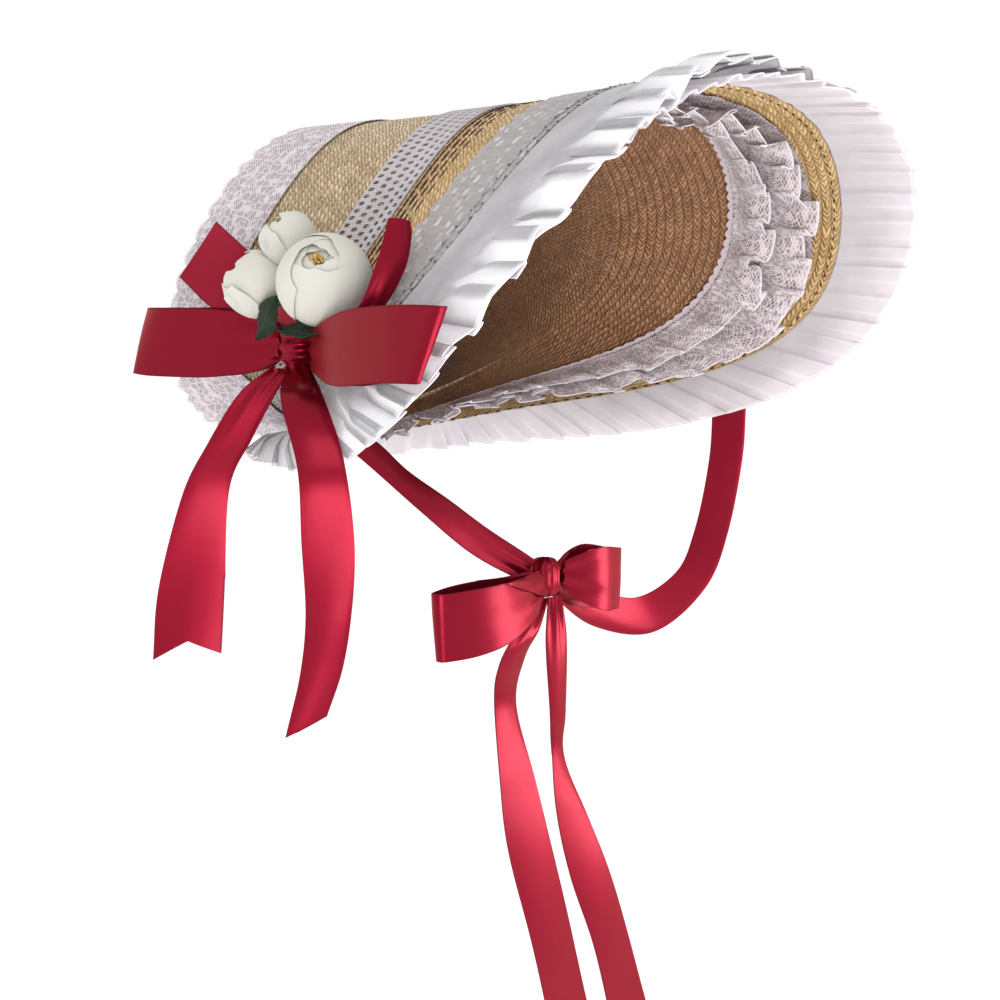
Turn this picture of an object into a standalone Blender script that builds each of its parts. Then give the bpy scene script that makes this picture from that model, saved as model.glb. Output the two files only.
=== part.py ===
import math

import bmesh
import bpy
import numpy as np

# All sizes are in millimetres and degrees; the meshes are written in metres.
# X points to the wearer's left, minus Y to the front, Z up; the origin is the head's seat.
METRE = 0.001

# Walls and fits
STRAW = 2.4
CLOTH = 1.0
GAP = 0.3

# Crown: two tilted rings, the back edge and the base that the brim grows from
CROWN_RADIUS = 92.0
CROWN_DEPTH = 92.0
TIP_DEPTH = 15.0
BASE_TILT = 31.6
TIP_TILT = 15.6
TIP_CENTRE_Y = 84.0
TIP_CENTRE_Z = 2.8
BASE_CENTRE_Z = 11.8
BASE_BOW = 26.7
BASE_LEAN = 7.4
TIP_LEAN = 6.0
JOIN_SHARE = 0.135
KINK = 0.12
ROUND_STEPS = 40
FRILL_SEAT = 0.45
TWIST_GAP = 0.8

# Brim edge
BRIM_HALF_WIDTH = 160.0
BRIM_REACH = 192.0
BRIM_RISE = 106.0
FRILL_LENGTH = 41.0

# Trims
BACK_LACE_START = 0.70
BACK_LACE_OVERHANG = 5.0
SCALLOP = 4.0
SCALLOPS = 40
BAND_END = 0.273
BAND_SET_BACK = 3.0
HOLE_SHARE = 0.52
TULLE_START = 0.08
TULLE_SPREAD = 0.28
TULLE_SET_BACK = 6.0
SEAM_SHARE = 0.70
SEAM_SPREAD = 0.077
LINING_START = 0.449
LINING_SPREAD = 0.114
LINING_END = 0.90
INNER_ROOT = 0.30
INNER_END = 0.97
RUFFLE_GATHERS = 40
RUFFLE_LIFT = 3.2
RUFFLE_WAVE = 2.4
PLEATS = 80
PLEAT_DEPTH = 2.2
INNER_GATHERS = 28
INNER_LIFT = 9.0
INNER_WAVE = 3.0

# Ribbon and flowers
RIBBON_WIDTH = 34.0
RIBBON_STEPS = 2
BOW_CENTRE = (-128.2, -45.7, -19.4)
CHIN_CENTRE = (0.0, -92.0, -142.0)
KNOT_WIDTH = 18.0
ROSE_RADIUS = 22.0
LEAF_LENGTH = 36.0
LEAF_WIDTH = 13.0

# Brim edge and frill, from the top front (0) to the nape (180), as shares of
# BRIM_HALF_WIDTH, BRIM_REACH and BRIM_RISE, then of FRILL_LENGTH.
# angle, edge_x, edge_y, edge_z, frill_x, frill_y, frill_z
EDGE_ROWS = (
    (0.0, 0.0, -1.000, 1.000, 0.0, -0.980, 0.060),
    (30.0, 0.525, -1.021, 0.840, 0.073, -1.024, 0.010),
    (60.0, 0.894, -0.922, 0.302, 0.146, -1.000, 0.024),
    (90.0, 1.000, -0.615, -0.292, 0.244, -0.951, -0.220),
    (120.0, 0.713, -0.167, -0.566, 0.390, -0.659, -0.439),
    (150.0, 0.413, 0.115, -0.670, 0.488, 0.049, -0.370),
    (180.0, 0.0, 0.271, -0.735, 0.0, 0.537, -0.370),
)

# Ribbon rows: forward, outward and up from the bow's centre, lean of the width
# from upright, heading that it leans to, and width as a share of RIBBON_WIDTH.
LOOP_BACK_ROWS = (
    (-10.2, 3, 1, 0, -50, 0.45),
    (-26, 7, 1, -4, -50, 0.80),
    (-53, 10, 0, 0, -50, 0.98),
    (-90, 10, -1, 6, -50, 1.00),
    (-106, 7, -1, 14, -50, 1.00),
    (-109, 3, -1, 14, -50, 1.00),
    (-105, -2, -1, 14, -50, 1.00),
    (-88, -5, -1, 6, -50, 1.00),
    (-53, -5, 0, 0, -50, 0.98),
    (-26, -3, 1, -4, -50, 0.75),
    (-10.2, -1, 1, 0, -50, 0.40),
)
LOOP_FRONT_ROWS = (
    (10.4, 4, 0, 0, -50, 0.40),
    (35, 26, 1, 2, -50, 0.60),
    (70, 46, 4, 6, -50, 0.98),
    (108, 60, 4, 12, -50, 1.00),
    (132, 65, 3, 17, -50, 1.00),
    (140, 65, 3, 17, -50, 1.00),
    (138, 61, 3, 17, -50, 1.00),
    (111, 54, 4, 12, -50, 1.00),
    (73, 39, 4, 6, -50, 0.98),
    (38, 19, 1, 2, -50, 0.56),
    (10.4, 0, 0, 0, -50, 0.38),
)
END_UPPER_ROWS = (
    (-6.9, -6.3, 7, 40, -50, 0.40),
    (-38, -14, 18, 38, -50, 0.80),
    (-64, -15, 30, 34, -50, 1.00),
    (-91, -18, 45, 34, -50, 1.00),
)
FOLD_UPPER_ROWS = (
    (61, 19.7, 18, 90, 143, 0.30),
    (69, 18.7, 26, 90, 143, 0.45),
    (69, 10.7, 40, 85, 143, 0.52),
    (65, 2.7, 53, 80, 143, 0.45),
    (63, -0.3, 60, 80, 143, 0.25),
)
TAIL_BACK_ROWS = (
    (-6.5, 8, -10.6, 95, -50, 0.30),
    (-18, 12, -23, 90, -50, 0.52),
    (-31, 18, -46, 85, -50, 0.62),
    (-43, 23, -71, 85, -50, 0.66),
    (-50, 27, -119, 92, -50, 0.95),
    (-53, 28, -153, 84, -50, 1.00),
)
TAIL_FRONT_ROWS = (
    (5, 7, -9.6, 90, -50, 0.34),
    (36, 35, -21, 88, -50, 0.58),
    (54, 42, -49, 80, -50, 0.62),
    (57, 41, -83, 84, -50, 0.70),
    (55, 39, -117, 80, -50, 0.62),
    (50, 39, -145, 76, -50, 0.60),
    (43, 42, -171, 62, -50, 0.64),
)
CHIN_LOOP_RIGHT_ROWS = (
    (6, 9, -2, 15, 180, 0.45),
    (11, 26, -7, 18, 180, 0.70),
    (14, 48, -11, 10, 180, 0.92),
    (12, 68, -13, 8, 180, 1.00),
    (6, 84, -14, 4, 180, 1.00),
    (2, 86, -14, 4, 180, 1.00),
    (-1, 83, -14, 4, 180, 1.00),
    (-3, 66, -13, 8, 180, 1.00),
    (-3, 46, -11, 10, 180, 0.90),
    (-2, 26, -7, 18, 180, 0.65),
    (0, 9, -2, 15, 180, 0.40),
)
CHIN_LOOP_LEFT_ROWS = (
    (6, -8.4, 0, 0, 180, 0.45),
    (11, -20, -2, 2, 180, 0.80),
    (13, -34, -4, 0, 180, 1.00),
    (10, -50, -6, -4, 180, 0.95),
    (5, -56, -7, -4, 180, 0.95),
    (0, -53, -7, -4, 180, 0.95),
    (-2, -35, -4, 0, 180, 1.00),
    (-1, -20, -2, 2, 180, 0.75),
    (1, -8.4, 0, 0, 180, 0.40),
)
CHIN_TAIL_RIGHT_ROWS = (
    (3, 5.5, -10.3, -95, 180, 0.28),
    (10, 27, -24, -88, 180, 0.60),
    (8, 36, -38, -86, 180, 0.62),
    (3, 35, -60, -100, 180, 0.55),
    (6, 29, -100, -94, 180, 0.80),
    (8, 21, -138, -98, 180, 1.00),
    (9, 4, -190, -100, 180, 1.05),
    (9, -14, -246, -100, 180, 1.05),
)
CHIN_TAIL_LEFT_ROWS = (
    (3, -4.5, -10.5, -90, 180, 0.28),
    (7, -1, -32, -94, 180, 0.50),
    (5, -5, -70, -108, 180, 0.45),
    (2, -9, -92, -125, 180, 0.42),
    (4, -18, -126, -110, 180, 0.80),
    (6, -32, -164, -100, 180, 1.00),
    (7, -50, -206, -100, 180, 1.00),
    (7, -68, -254, -100, 180, 1.05),
)
STRAP_RIGHT_ROWS = (
    (-39.6, 117.2, 83, -95, 180, 0.38),
    (-34, 104, 77, -95, 180, 0.70),
    (-26, 86, 60, -92, 180, 0.65),
    (-16, 66, 42, -75, 180, 0.60),
    (-9, 40, 22, -60, 180, 0.55),
    (-2.5, 9.6, 4, -40, 180, 0.40),
)
STRAP_LEFT_ROWS = (
    (8, -139.2, 84, -95, 150, 0.60),
    (8, -139, 48, -96, 150, 0.60),
    (5, -138, 8, -98, 150, 0.62),
    (2, -128, -18, -120, 160, 0.66),
    (-6, -96, -34, -150, 170, 0.70),
    (-10, -52, -24, -165, 180, 0.66),
    (-4.2, -9.2, -5, -160, 180, 0.40),
)

# Petal waves of a rose: height share, radius share, wave share
ROSE_ROWS = (
    (-0.95, 0.45, 0.00),
    (-0.70, 0.80, 0.06),
    (-0.25, 1.00, 0.08),
    (0.25, 0.98, 0.06),
    (0.65, 0.76, 0.05),
    (0.88, 0.50, 0.04),
    (0.80, 0.26, 0.02),
)

# Material table: colour, roughness
STRAW_TAN = (0.58, 0.42, 0.24, 0.75)
LACE_WHITE = (0.80, 0.76, 0.80, 0.85)
TULLE_GREY = (0.66, 0.64, 0.62, 0.80)
CHIFFON = (0.86, 0.82, 0.88, 0.80)
SATIN = (0.42, 0.008, 0.04, 0.35)
PETAL = (0.86, 0.86, 0.78, 0.60)
LEAF = (0.05, 0.08, 0.035, 0.60)


def clear_scene():
    """Remove everything that is in the scene."""
    for item in list(bpy.data.objects):
        bpy.data.objects.remove(item, do_unlink=True)


def material(name, finish, metallic=0.0):
    """Plain material with one colour, from its (red, green, blue, roughness)."""
    made = bpy.data.materials.new(name)
    made.use_nodes = True
    shader = made.node_tree.nodes["Principled BSDF"]
    shader.inputs["Base Color"].default_value = (*finish[:3], 1.0)
    shader.inputs["Roughness"].default_value = finish[3]
    shader.inputs["Metallic"].default_value = metallic
    made.diffuse_color = (*finish[:3], 1.0)
    return made


def build(name, points, faces, finish):
    """Mesh object from points in millimetres, with all faces turned outwards."""
    mesh = bpy.data.meshes.new(name)
    mesh.from_pydata((np.asarray(points) * METRE).tolist(), [], faces)
    work = bmesh.new()
    work.from_mesh(mesh)
    bmesh.ops.remove_doubles(work, verts=work.verts, dist=1e-6)
    bmesh.ops.triangulate(work, faces=work.faces)
    bmesh.ops.recalc_face_normals(work, faces=work.faces)
    if work.calc_volume(signed=True) < 0:
        bmesh.ops.reverse_faces(work, faces=work.faces)
    work.to_mesh(mesh)
    work.free()
    mesh.materials.append(finish)
    item = bpy.data.objects.new(name, mesh)
    bpy.context.scene.collection.objects.link(item)
    return item


def unit(vectors):
    """Vectors brought to length one, a null vector left as it is."""
    size = np.linalg.norm(vectors, axis=-1, keepdims=True)
    return vectors / np.where(size < 1e-9, 1.0, size)


def grid_normals(grid, wrap):
    """Normals of a grid of points, by differences along and across it."""
    if wrap:
        along = np.roll(grid, -1, axis=0) - np.roll(grid, 1, axis=0)
    else:
        along = np.gradient(grid, axis=0)
    across = np.gradient(grid, axis=1)
    return unit(np.cross(across, along))


def slab_faces(rows, columns, wrap):
    """Faces of a closed wall between two grids of points."""
    count = rows * columns
    faces = []
    last = rows if wrap else rows - 1
    for i in range(last):
        j = (i + 1) % rows
        for k in range(columns - 1):
            a, b = i * columns + k, j * columns + k
            faces.append((a, b, b + 1, a + 1))
            faces.append((count + a, count + a + 1, count + b + 1, count + b))
        for k in (0, columns - 1):
            a, b = i * columns + k, j * columns + k
            faces.append((a, count + a, count + b, b))
    if not wrap:
        for i in (0, rows - 1):
            for k in range(columns - 1):
                a = i * columns + k
                faces.append((a, a + 1, count + a + 1, count + a))
    return faces


def slab(name, upper, lower, wrap, finish):
    """Closed wall between two grids."""
    rows, columns = upper.shape[:2]
    points = np.concatenate([upper.reshape(-1, 3), lower.reshape(-1, 3)])
    return build(name, points, slab_faces(rows, columns, wrap), finish)


def even_series(column, angles):
    """Smooth value round the bonnet, the same on both sides, from EDGE_ROWS."""
    rows = np.array(EDGE_ROWS)
    waves = np.arange(len(rows))
    known = np.cos(np.outer(np.radians(rows[:, 0]), waves))
    return np.cos(np.outer(angles, waves)) @ np.linalg.solve(known, rows[:, column])


def odd_series(column, angles):
    """Smooth value round the bonnet, opposite on the two sides, from EDGE_ROWS."""
    rows = np.array(EDGE_ROWS)[1:-1]
    waves = np.arange(1, len(rows) + 1)
    known = np.sin(np.outer(np.radians(rows[:, 0]), waves))
    return np.sin(np.outer(angles, waves)) @ np.linalg.solve(known, rows[:, column])


def tilted_ring(angles, centre, radii, tilt, bow, lean):
    """Ring about the head, its top leaning forward by tilt and its sides bowed forward."""
    turn = math.radians(tilt)
    cosine, sine = np.cos(angles), np.sin(angles)
    height = np.where(cosine > 0, radii[1], radii[2]) * cosine
    push = bow * sine**2 + 2.0 * lean * cosine * sine**2
    return np.stack(
        [
            radii[0] * sine,
            centre[0] - height * math.sin(turn) - push * math.cos(turn),
            centre[1] + height * math.cos(turn) - push * math.sin(turn),
        ],
        axis=-1,
    )


def tip_ring(angles):
    """Back edge of the crown."""
    radii = (CROWN_RADIUS - 5.7, CROWN_RADIUS - 2.0, CROWN_RADIUS - 8.0)
    return tilted_ring(angles, (TIP_CENTRE_Y, TIP_CENTRE_Z), radii, TIP_TILT, 2.5, TIP_LEAN)


def base_ring(angles):
    """Base of the crown, where its wall turns to the brim."""
    centre = (TIP_CENTRE_Y - CROWN_DEPTH, BASE_CENTRE_Z)
    radii = (CROWN_RADIUS + 3.5, CROWN_RADIUS + 7.2, CROWN_RADIUS)
    return tilted_ring(angles, centre, radii, BASE_TILT, BASE_BOW, BASE_LEAN)


def brim_edge(angles):
    """Outer edge of the straw brim."""
    return np.stack(
        [
            BRIM_HALF_WIDTH * odd_series(1, angles),
            BRIM_REACH * even_series(2, angles),
            BRIM_RISE * even_series(3, angles),
        ],
        axis=-1,
    )


def frill_reach(angles):
    """Way from the brim edge to the free edge of the frill."""
    return FRILL_LENGTH * np.stack(
        [odd_series(4, angles), even_series(5, angles), even_series(6, angles)], axis=-1
    )


def join_ring(angles):
    """Seam between crown and brim."""
    base = base_ring(angles)
    share = JOIN_SHARE * np.sqrt((1.0 + np.cos(angles)) / 2.0)
    return base + share[:, None] * (brim_edge(angles) - base)


def between(start, end, shares):
    """Points from one ring to another at the given shares."""
    return start[:, None] + shares[..., None] * (end - start)[:, None]


def spread(shares, angles):
    """The same row of shares at every angle."""
    return np.tile(np.asarray(shares, float), (len(angles), 1))


def crown_wall(angles, shares):
    """Outer face of the crown: 0 at the brim, 1 at the back edge, bent at its base ring."""
    join, base, tip = join_ring(angles), base_ring(angles), tip_ring(angles)
    line = tip - join
    offset = base - join - KINK * line
    offset -= np.sum(offset * line, axis=-1, keepdims=True) / np.sum(line * line, axis=-1, keepdims=True) * line
    bend = np.minimum(shares / KINK, (1.0 - shares) / (1.0 - KINK))
    return between(join, tip, shares) + bend[..., None] * offset[:, None]


def crown_tip(angles, shares):
    """Rounded back of the crown: 0 at its edge, 1 at the middle."""
    ring = tip_ring(angles)
    centre = ring.mean(axis=0)
    turn = math.radians(TIP_TILT)
    back = np.array([0.0, math.cos(turn), math.sin(turn)])
    swing = shares * math.pi / 2
    inward = np.clip(np.cos(swing), 0.0, 1.0) ** 0.6
    depth = TIP_DEPTH * np.sin(swing) ** 0.8
    return centre + inward[..., None] * (ring - centre)[:, None] + depth[..., None] * back


def brim_face(angles, shares):
    """Outer face of the brim: 0 at the crown, 1 at the edge, 2 at the frill's edge."""
    join, edge = join_ring(angles), brim_edge(angles)
    straw = between(join, edge, np.minimum(shares, 1.0))
    return straw + np.maximum(shares - 1.0, 0.0)[..., None] * frill_reach(angles)[:, None]


def outward(grid):
    """Normals of a closed band of the bonnet, turned away from the head."""
    normals = grid_normals(grid, True)
    if normals[0, 0, 2] < 0:
        normals = -normals
    return normals


def round_angles(count, start=0.0):
    """Evenly spaced angles round the bonnet."""
    return (np.arange(count) + start) * 2.0 * math.pi / count


def layer(name, grid, low, high, finish):
    """Closed band between two heights over a face of the bonnet."""
    normals = outward(grid)
    return slab(name, grid + high * normals, grid + low * normals, True, finish)


def crown(finish):
    """Straw crown with its rounded back, open to the front."""
    angles = round_angles(ROUND_STEPS)
    wall = crown_wall(angles, spread((0.0, KINK, 0.55, 0.98), angles))
    tip = crown_tip(angles, spread((0.16, 0.42, 0.70, 0.90), angles))
    grid = np.concatenate([wall, tip], axis=1)
    normals = outward(grid)
    rows, columns = grid.shape[:2]
    inner = grid - STRAW * normals
    middle = grid[:, -1].mean(axis=0)
    back = normals[:, -1].mean(axis=0)
    points = np.concatenate(
        [grid.reshape(-1, 3), inner.reshape(-1, 3), [middle], [middle - STRAW * unit(back)]]
    )
    count = rows * columns
    faces = []
    for i in range(rows):
        j = (i + 1) % rows
        for k in range(columns - 1):
            a, b = i * columns + k, j * columns + k
            faces.append((a, b, b + 1, a + 1))
            faces.append((count + a, count + a + 1, count + b + 1, count + b))
        a, b = i * columns, j * columns
        faces.append((a, count + a, count + b, b))
        a, b = a + columns - 1, b + columns - 1
        faces.append((a, b, 2 * count))
        faces.append((count + a, 2 * count + 1, count + b))
    return build("crown", points, faces, finish)


def brim(finish):
    """Straw brim from the crown to its edge, all round."""
    angles = round_angles(ROUND_STEPS)
    width = np.linalg.norm(brim_edge(angles) - join_ring(angles), axis=-1)
    start = GAP / width
    shares = np.stack([start, 0.5 + 0 * start, 1.0 + 0 * start], axis=1)
    return layer("brim", brim_face(angles, shares), -STRAW, 0.0, finish)


def crown_back_lace(finish):
    """Scalloped lace over the back edge of the crown."""
    angles = round_angles(2 * SCALLOPS)
    wall = crown_wall(angles, spread((BACK_LACE_START, 1.0), angles))
    wave = np.abs(np.sin(angles * SCALLOPS / 2.0))
    reach = BACK_LACE_OVERHANG + SCALLOP * wave
    along = unit(tip_ring(angles) - base_ring(angles))
    edge = wall[:, -1] + reach[:, None] * along
    return layer("crown_back_lace", np.concatenate([wall, edge[:, None]], axis=1), GAP, GAP + CLOTH, finish)


def net_band(name, grid, finish):
    """Band of two rows of cells, each cell pierced by one diamond."""
    normals = outward(grid)
    rows = len(grid)
    sides = (grid + (GAP + CLOTH) * normals, grid + GAP * normals)
    points, faces = [], []
    for i in range(rows):
        j = (i + 1) % rows
        for side in sides:
            points.extend(side[i])
        for side in sides:
            for k in (0, 1):
                a, b, c, d = side[i, k], side[j, k], side[j, k + 1], side[i, k + 1]
                middle = (a + b + c + d) / 4
                for first, second in ((a, b), (b, c), (c, d), (d, a)):
                    points.append(middle + HOLE_SHARE * ((first + second) / 2 - middle))
    per_row = len(points) // rows
    for i in range(rows):
        here, there = i * per_row, (i + 1) % rows * per_row
        for side in (0, 1):
            for k in (0, 1):
                hole = here + 6 + 8 * side + 4 * k
                a, b = here + 3 * side + k, there + 3 * side + k
                corners = (a, b, b + 1, a + 1)
                for n in range(4):
                    m = (n + 1) % 4
                    faces.append((corners[n], corners[m], hole + n))
                    faces.append((corners[m], hole + m, hole + n))
        for k in (0, 1):
            hole = here + 6 + 4 * k
            for n in range(4):
                m = (n + 1) % 4
                faces.append((hole + n, hole + m, hole + 8 + m, hole + 8 + n))
        for k in (0, 2):
            faces.append((here + k, there + k, there + 3 + k, here + 3 + k))
    return build(name, points, faces, finish)


def crown_lace_band(finish):
    """Open net lace round the crown beside the brim."""
    angles = round_angles(ROUND_STEPS)
    length = np.linalg.norm(tip_ring(angles) - join_ring(angles), axis=-1)
    start = BAND_SET_BACK / length
    shares = np.stack([start, np.full_like(start, KINK), np.full_like(start, BAND_END)], axis=1)
    return net_band("crown_lace_band", crown_wall(angles, shares), finish)


def seam_shares(angles):
    """Where the gathered ruffle is sewn on, as a share of the brim."""
    return SEAM_SHARE + SEAM_SPREAD * np.cos(angles)


def brim_tulle(finish):
    """Sheer dotted lace over the outside of the brim."""
    angles = round_angles(ROUND_STEPS)
    width = np.linalg.norm(brim_edge(angles) - join_ring(angles), axis=-1)
    start = TULLE_START + TULLE_SPREAD * ((1.0 + np.cos(angles)) / 2.0) ** 0.6
    start = np.maximum(start, TULLE_SET_BACK / width)
    end = seam_shares(angles) - 0.01
    shares = np.stack([start, end], axis=1)
    return layer("brim_tulle", brim_face(angles, shares), TWIST_GAP, TWIST_GAP + CLOTH, finish)


def brim_ruffle(finish):
    """Soft gathered ruffle over the outside of the brim edge."""
    angles = round_angles(3 * RUFFLE_GATHERS)
    seam = seam_shares(angles)
    shares = np.stack([seam + 0.01, 1.0 + 0 * seam, 1.97 + 0 * seam], axis=1)
    face = brim_face(angles, shares)
    wave = np.cos(angles * RUFFLE_GATHERS)
    lift = np.stack(
        [TWIST_GAP + 0 * wave, RUFFLE_LIFT + 0.6 * RUFFLE_WAVE * wave, RUFFLE_LIFT + 1.6 + RUFFLE_WAVE * wave],
        axis=1,
    )
    grid = face + lift[..., None] * outward(face)
    normals = outward(face)
    return slab("brim_ruffle", grid + CLOTH * normals, grid, True, finish)


def pleated_frill(finish):
    """Knife-pleated frill that stands out from the brim edge all round."""
    angles = round_angles(2 * PLEATS)
    edge = brim_edge(angles)
    along = unit(edge - join_ring(angles))
    root_face = outward(brim_face(angles, spread((0.9, 1.0), angles)))[:, 1]
    free_face = outward(brim_face(angles, spread((1.01, 2.0), angles)))[:, 1]
    fold = PLEAT_DEPTH * (np.arange(len(angles)) % 2)
    root = edge + FRILL_SEAT * along - (STRAW / 2 + CLOTH / 2) * root_face
    free = edge + frill_reach(angles) - (CLOTH + fold)[:, None] * free_face
    grid = np.stack([root, free], axis=1)
    normals = np.stack([root_face, free_face], axis=1)
    return slab("pleated_frill", grid + CLOTH * normals, grid, True, finish)


def lining_shares(angles):
    """Where the lace lining starts inside the brim."""
    return LINING_START + LINING_SPREAD * np.cos(angles)


def inner_lace_lining(finish):
    """Pale lace that lines the inside of the brim."""
    angles = round_angles(ROUND_STEPS)
    start = lining_shares(angles)
    shares = np.stack([start, np.full_like(start, LINING_END)], axis=1)
    grid = brim_face(angles, shares)
    return layer("inner_lace_lining", grid, -STRAW - TWIST_GAP - CLOTH, -STRAW - TWIST_GAP, finish)


def inner_ruffle(finish):
    """Gathered lace ruffle on the lining, its free edge towards the brim edge."""
    angles = round_angles(3 * INNER_GATHERS)
    start = lining_shares(angles)
    root = start + INNER_ROOT * (LINING_END - start)
    face = brim_face(angles, np.stack([root, INNER_END + 0 * start], axis=1))
    normals = outward(face)
    wave = np.cos(angles * INNER_GATHERS)
    seat = STRAW + 2 * TWIST_GAP + CLOTH
    depth = np.stack([seat + 0 * wave, seat + INNER_LIFT + INNER_WAVE * wave], axis=1)
    grid = face - depth[..., None] * normals
    return slab("inner_ruffle", grid, grid - CLOTH * normals, True, finish)


def smooth_rows(rows):
    """Rows with RIBBON_STEPS steps between each two, on a smooth curve."""
    rows = np.array(rows, float)
    padded = np.concatenate([[2 * rows[0] - rows[1]], rows, [2 * rows[-1] - rows[-2]]])
    made = []
    for i in range(len(rows) - 1):
        a, b, c, d = padded[i : i + 4]
        for t in np.arange(RIBBON_STEPS) / RIBBON_STEPS:
            made.append(
                0.5 * (2 * b + (c - a) * t + (2 * a - 5 * b + 4 * c - d) * t**2 + (3 * b - a - 3 * c + d) * t**3)
            )
    return np.array([*made, rows[-1]])


def ribbon(name, centre, rows, finish, notch=0.0, slant=0.0):
    """Flat ribbon along its rows; notch or slant shapes its free end."""
    rows = smooth_rows(rows)
    path = np.array(centre) + np.stack([-rows[:, 1], -rows[:, 0], rows[:, 2]], axis=1)
    lean, heading = np.radians(rows[:, 3]), np.radians(rows[:, 4])
    width = np.stack(
        [np.sin(lean) * np.cos(heading), np.sin(lean) * np.sin(heading), np.cos(lean)], axis=1
    )
    along = unit(np.gradient(path, axis=0))
    half = RIBBON_WIDTH * rows[:, 5] / 2
    shares = np.array([-1.0, 0.0, 1.0] if notch else [-1.0, 1.0])
    grid = path[:, None] + shares[None, :, None] * (half[:, None] * width)[:, None]
    if notch:
        grid[-1, 1] -= notch * along[-1]
    grid[-1, 0] += slant * along[-1]
    face = unit(np.cross(along, width))
    upper = grid + CLOTH / 2 * face[:, None]
    lower = grid - CLOTH / 2 * face[:, None]
    return slab(name, upper, lower, False, finish)


def knot(name, centre, size, finish):
    """Rounded knot of a bow, wider in its middle."""
    angles = np.arange(8) * math.pi / 4
    heights = (-1.0, -0.8, 0.0, 0.8, 1.0)
    widths = (0.45, 0.85, 1.0, 0.85, 0.45)
    points = [
        np.array(centre) + np.array([size[0] * w * math.cos(t), size[1] * w * math.sin(t), size[2] * h])
        for h, w in zip(heights, widths)
        for t in angles
    ]
    faces = [tuple(range(7, -1, -1)), tuple(range(32, 40))]
    for k in range(4):
        for n in range(8):
            m = (n + 1) % 8
            faces.append((8 * k + n, 8 * k + m, 8 * k + 8 + m, 8 * k + 8 + n))
    return build(name, points, faces, finish)


def rose(name, centre, radius, facing, finish):
    """Closed rose with petal waves and a sunken heart, facing a direction."""
    axis = unit(np.array(facing, float))
    side = unit(np.cross(axis, (0.0, 0.0, 1.0)))
    rise = np.cross(side, axis)
    count = 12
    points = []
    for height, wide, wave in ROSE_ROWS:
        for n in range(count):
            turn = 2 * math.pi * n / count
            reach = radius * (wide + wave * math.cos(5 * turn + 3 * height))
            points.append(
                np.array(centre)
                + reach * (math.cos(turn) * side + math.sin(turn) * rise)
                + 0.86 * radius * height * axis
            )
    last = len(ROSE_ROWS) - 1
    faces = [tuple(range(count - 1, -1, -1)), tuple(range(last * count, (last + 1) * count))]
    for k in range(last):
        for n in range(count):
            m = (n + 1) % count
            faces.append((count * k + n, count * k + m, count * (k + 1) + m, count * (k + 1) + n))
    return build(name, points, faces, finish)


def leaf(name, centre, along, up, length, finish):
    """Pointed leaf, slightly cupped along its middle."""
    along = unit(np.array(along, float))
    face = unit(np.cross(along, np.array(up, float)))
    across = np.cross(face, along)
    steps = np.linspace(-0.5, 0.5, 7)
    grid = []
    for step in steps:
        wide = LEAF_WIDTH / 2 * max(1.0 - (2 * step) ** 2, 0.06)
        middle = np.array(centre) + step * length * along
        grid.append([middle - wide * across + 1.5 * face, middle, middle + wide * across + 1.5 * face])
    grid = np.array(grid)
    return slab(name, grid + CLOTH / 2 * face, grid - CLOTH / 2 * face, False, finish)


def side_bow(finish):
    """Bow with four loops and ends and two tails at the wearer's right."""
    knot("bow_knot", BOW_CENTRE, (KNOT_WIDTH / 2 + 1, KNOT_WIDTH / 2 + 1, 11.0), finish)
    ribbon("bow_loop_back", BOW_CENTRE, LOOP_BACK_ROWS, finish)
    ribbon("bow_loop_front", BOW_CENTRE, LOOP_FRONT_ROWS, finish)
    ribbon("bow_end_upper", BOW_CENTRE, END_UPPER_ROWS, finish)
    ribbon("bow_fold_upper", BOW_CENTRE, FOLD_UPPER_ROWS, finish)
    ribbon("bow_tail_back", BOW_CENTRE, TAIL_BACK_ROWS, finish, notch=8.0)
    ribbon("bow_tail_front", BOW_CENTRE, TAIL_FRONT_ROWS, finish, slant=6.0)


def chin_ribbon(finish):
    """Two straps, a bow and two tails under the chin."""
    knot("chin_knot", CHIN_CENTRE, (KNOT_WIDTH / 2 - 1, KNOT_WIDTH / 2 - 1, 10.0), finish)
    ribbon("chin_loop_right", CHIN_CENTRE, CHIN_LOOP_RIGHT_ROWS, finish)
    ribbon("chin_loop_left", CHIN_CENTRE, CHIN_LOOP_LEFT_ROWS, finish)
    ribbon("chin_tail_right", CHIN_CENTRE, CHIN_TAIL_RIGHT_ROWS, finish)
    ribbon("chin_tail_left", CHIN_CENTRE, CHIN_TAIL_LEFT_ROWS, finish)
    ribbon("chin_strap_right", CHIN_CENTRE, STRAP_RIGHT_ROWS, finish)
    ribbon("chin_strap_left", CHIN_CENTRE, STRAP_LEFT_ROWS, finish)


def flowers(petals, leaves):
    """White roses and leaves above the bow's knot."""
    x, y, z = BOW_CENTRE
    rose("rose_large", (x - 18, y - 34.3, z + 32.3), ROSE_RADIUS, (-0.80, -0.45, 0.35), petals)
    rose("rose_small", (x - 11, y + 17.3, z + 28.3), 0.70 * ROSE_RADIUS, (-0.85, 0.10, 0.20), petals)
    rose("rose_half", (x, y + 5.7, z + 50.6), 0.52 * ROSE_RADIUS, (-0.70, 0.00, 0.70), petals)
    leaf("leaf_back", (x - 14, y + 8, z + 7.2), (0.15, 1.0, 0.1), (0.0, 0.0, 1.0), LEAF_LENGTH, leaves)
    leaf("leaf_front", (x - 27, y - 29, z + 5.3), (-0.5, -0.85, 0.1), (0.0, 0.0, 1.0), LEAF_LENGTH, leaves)


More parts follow.
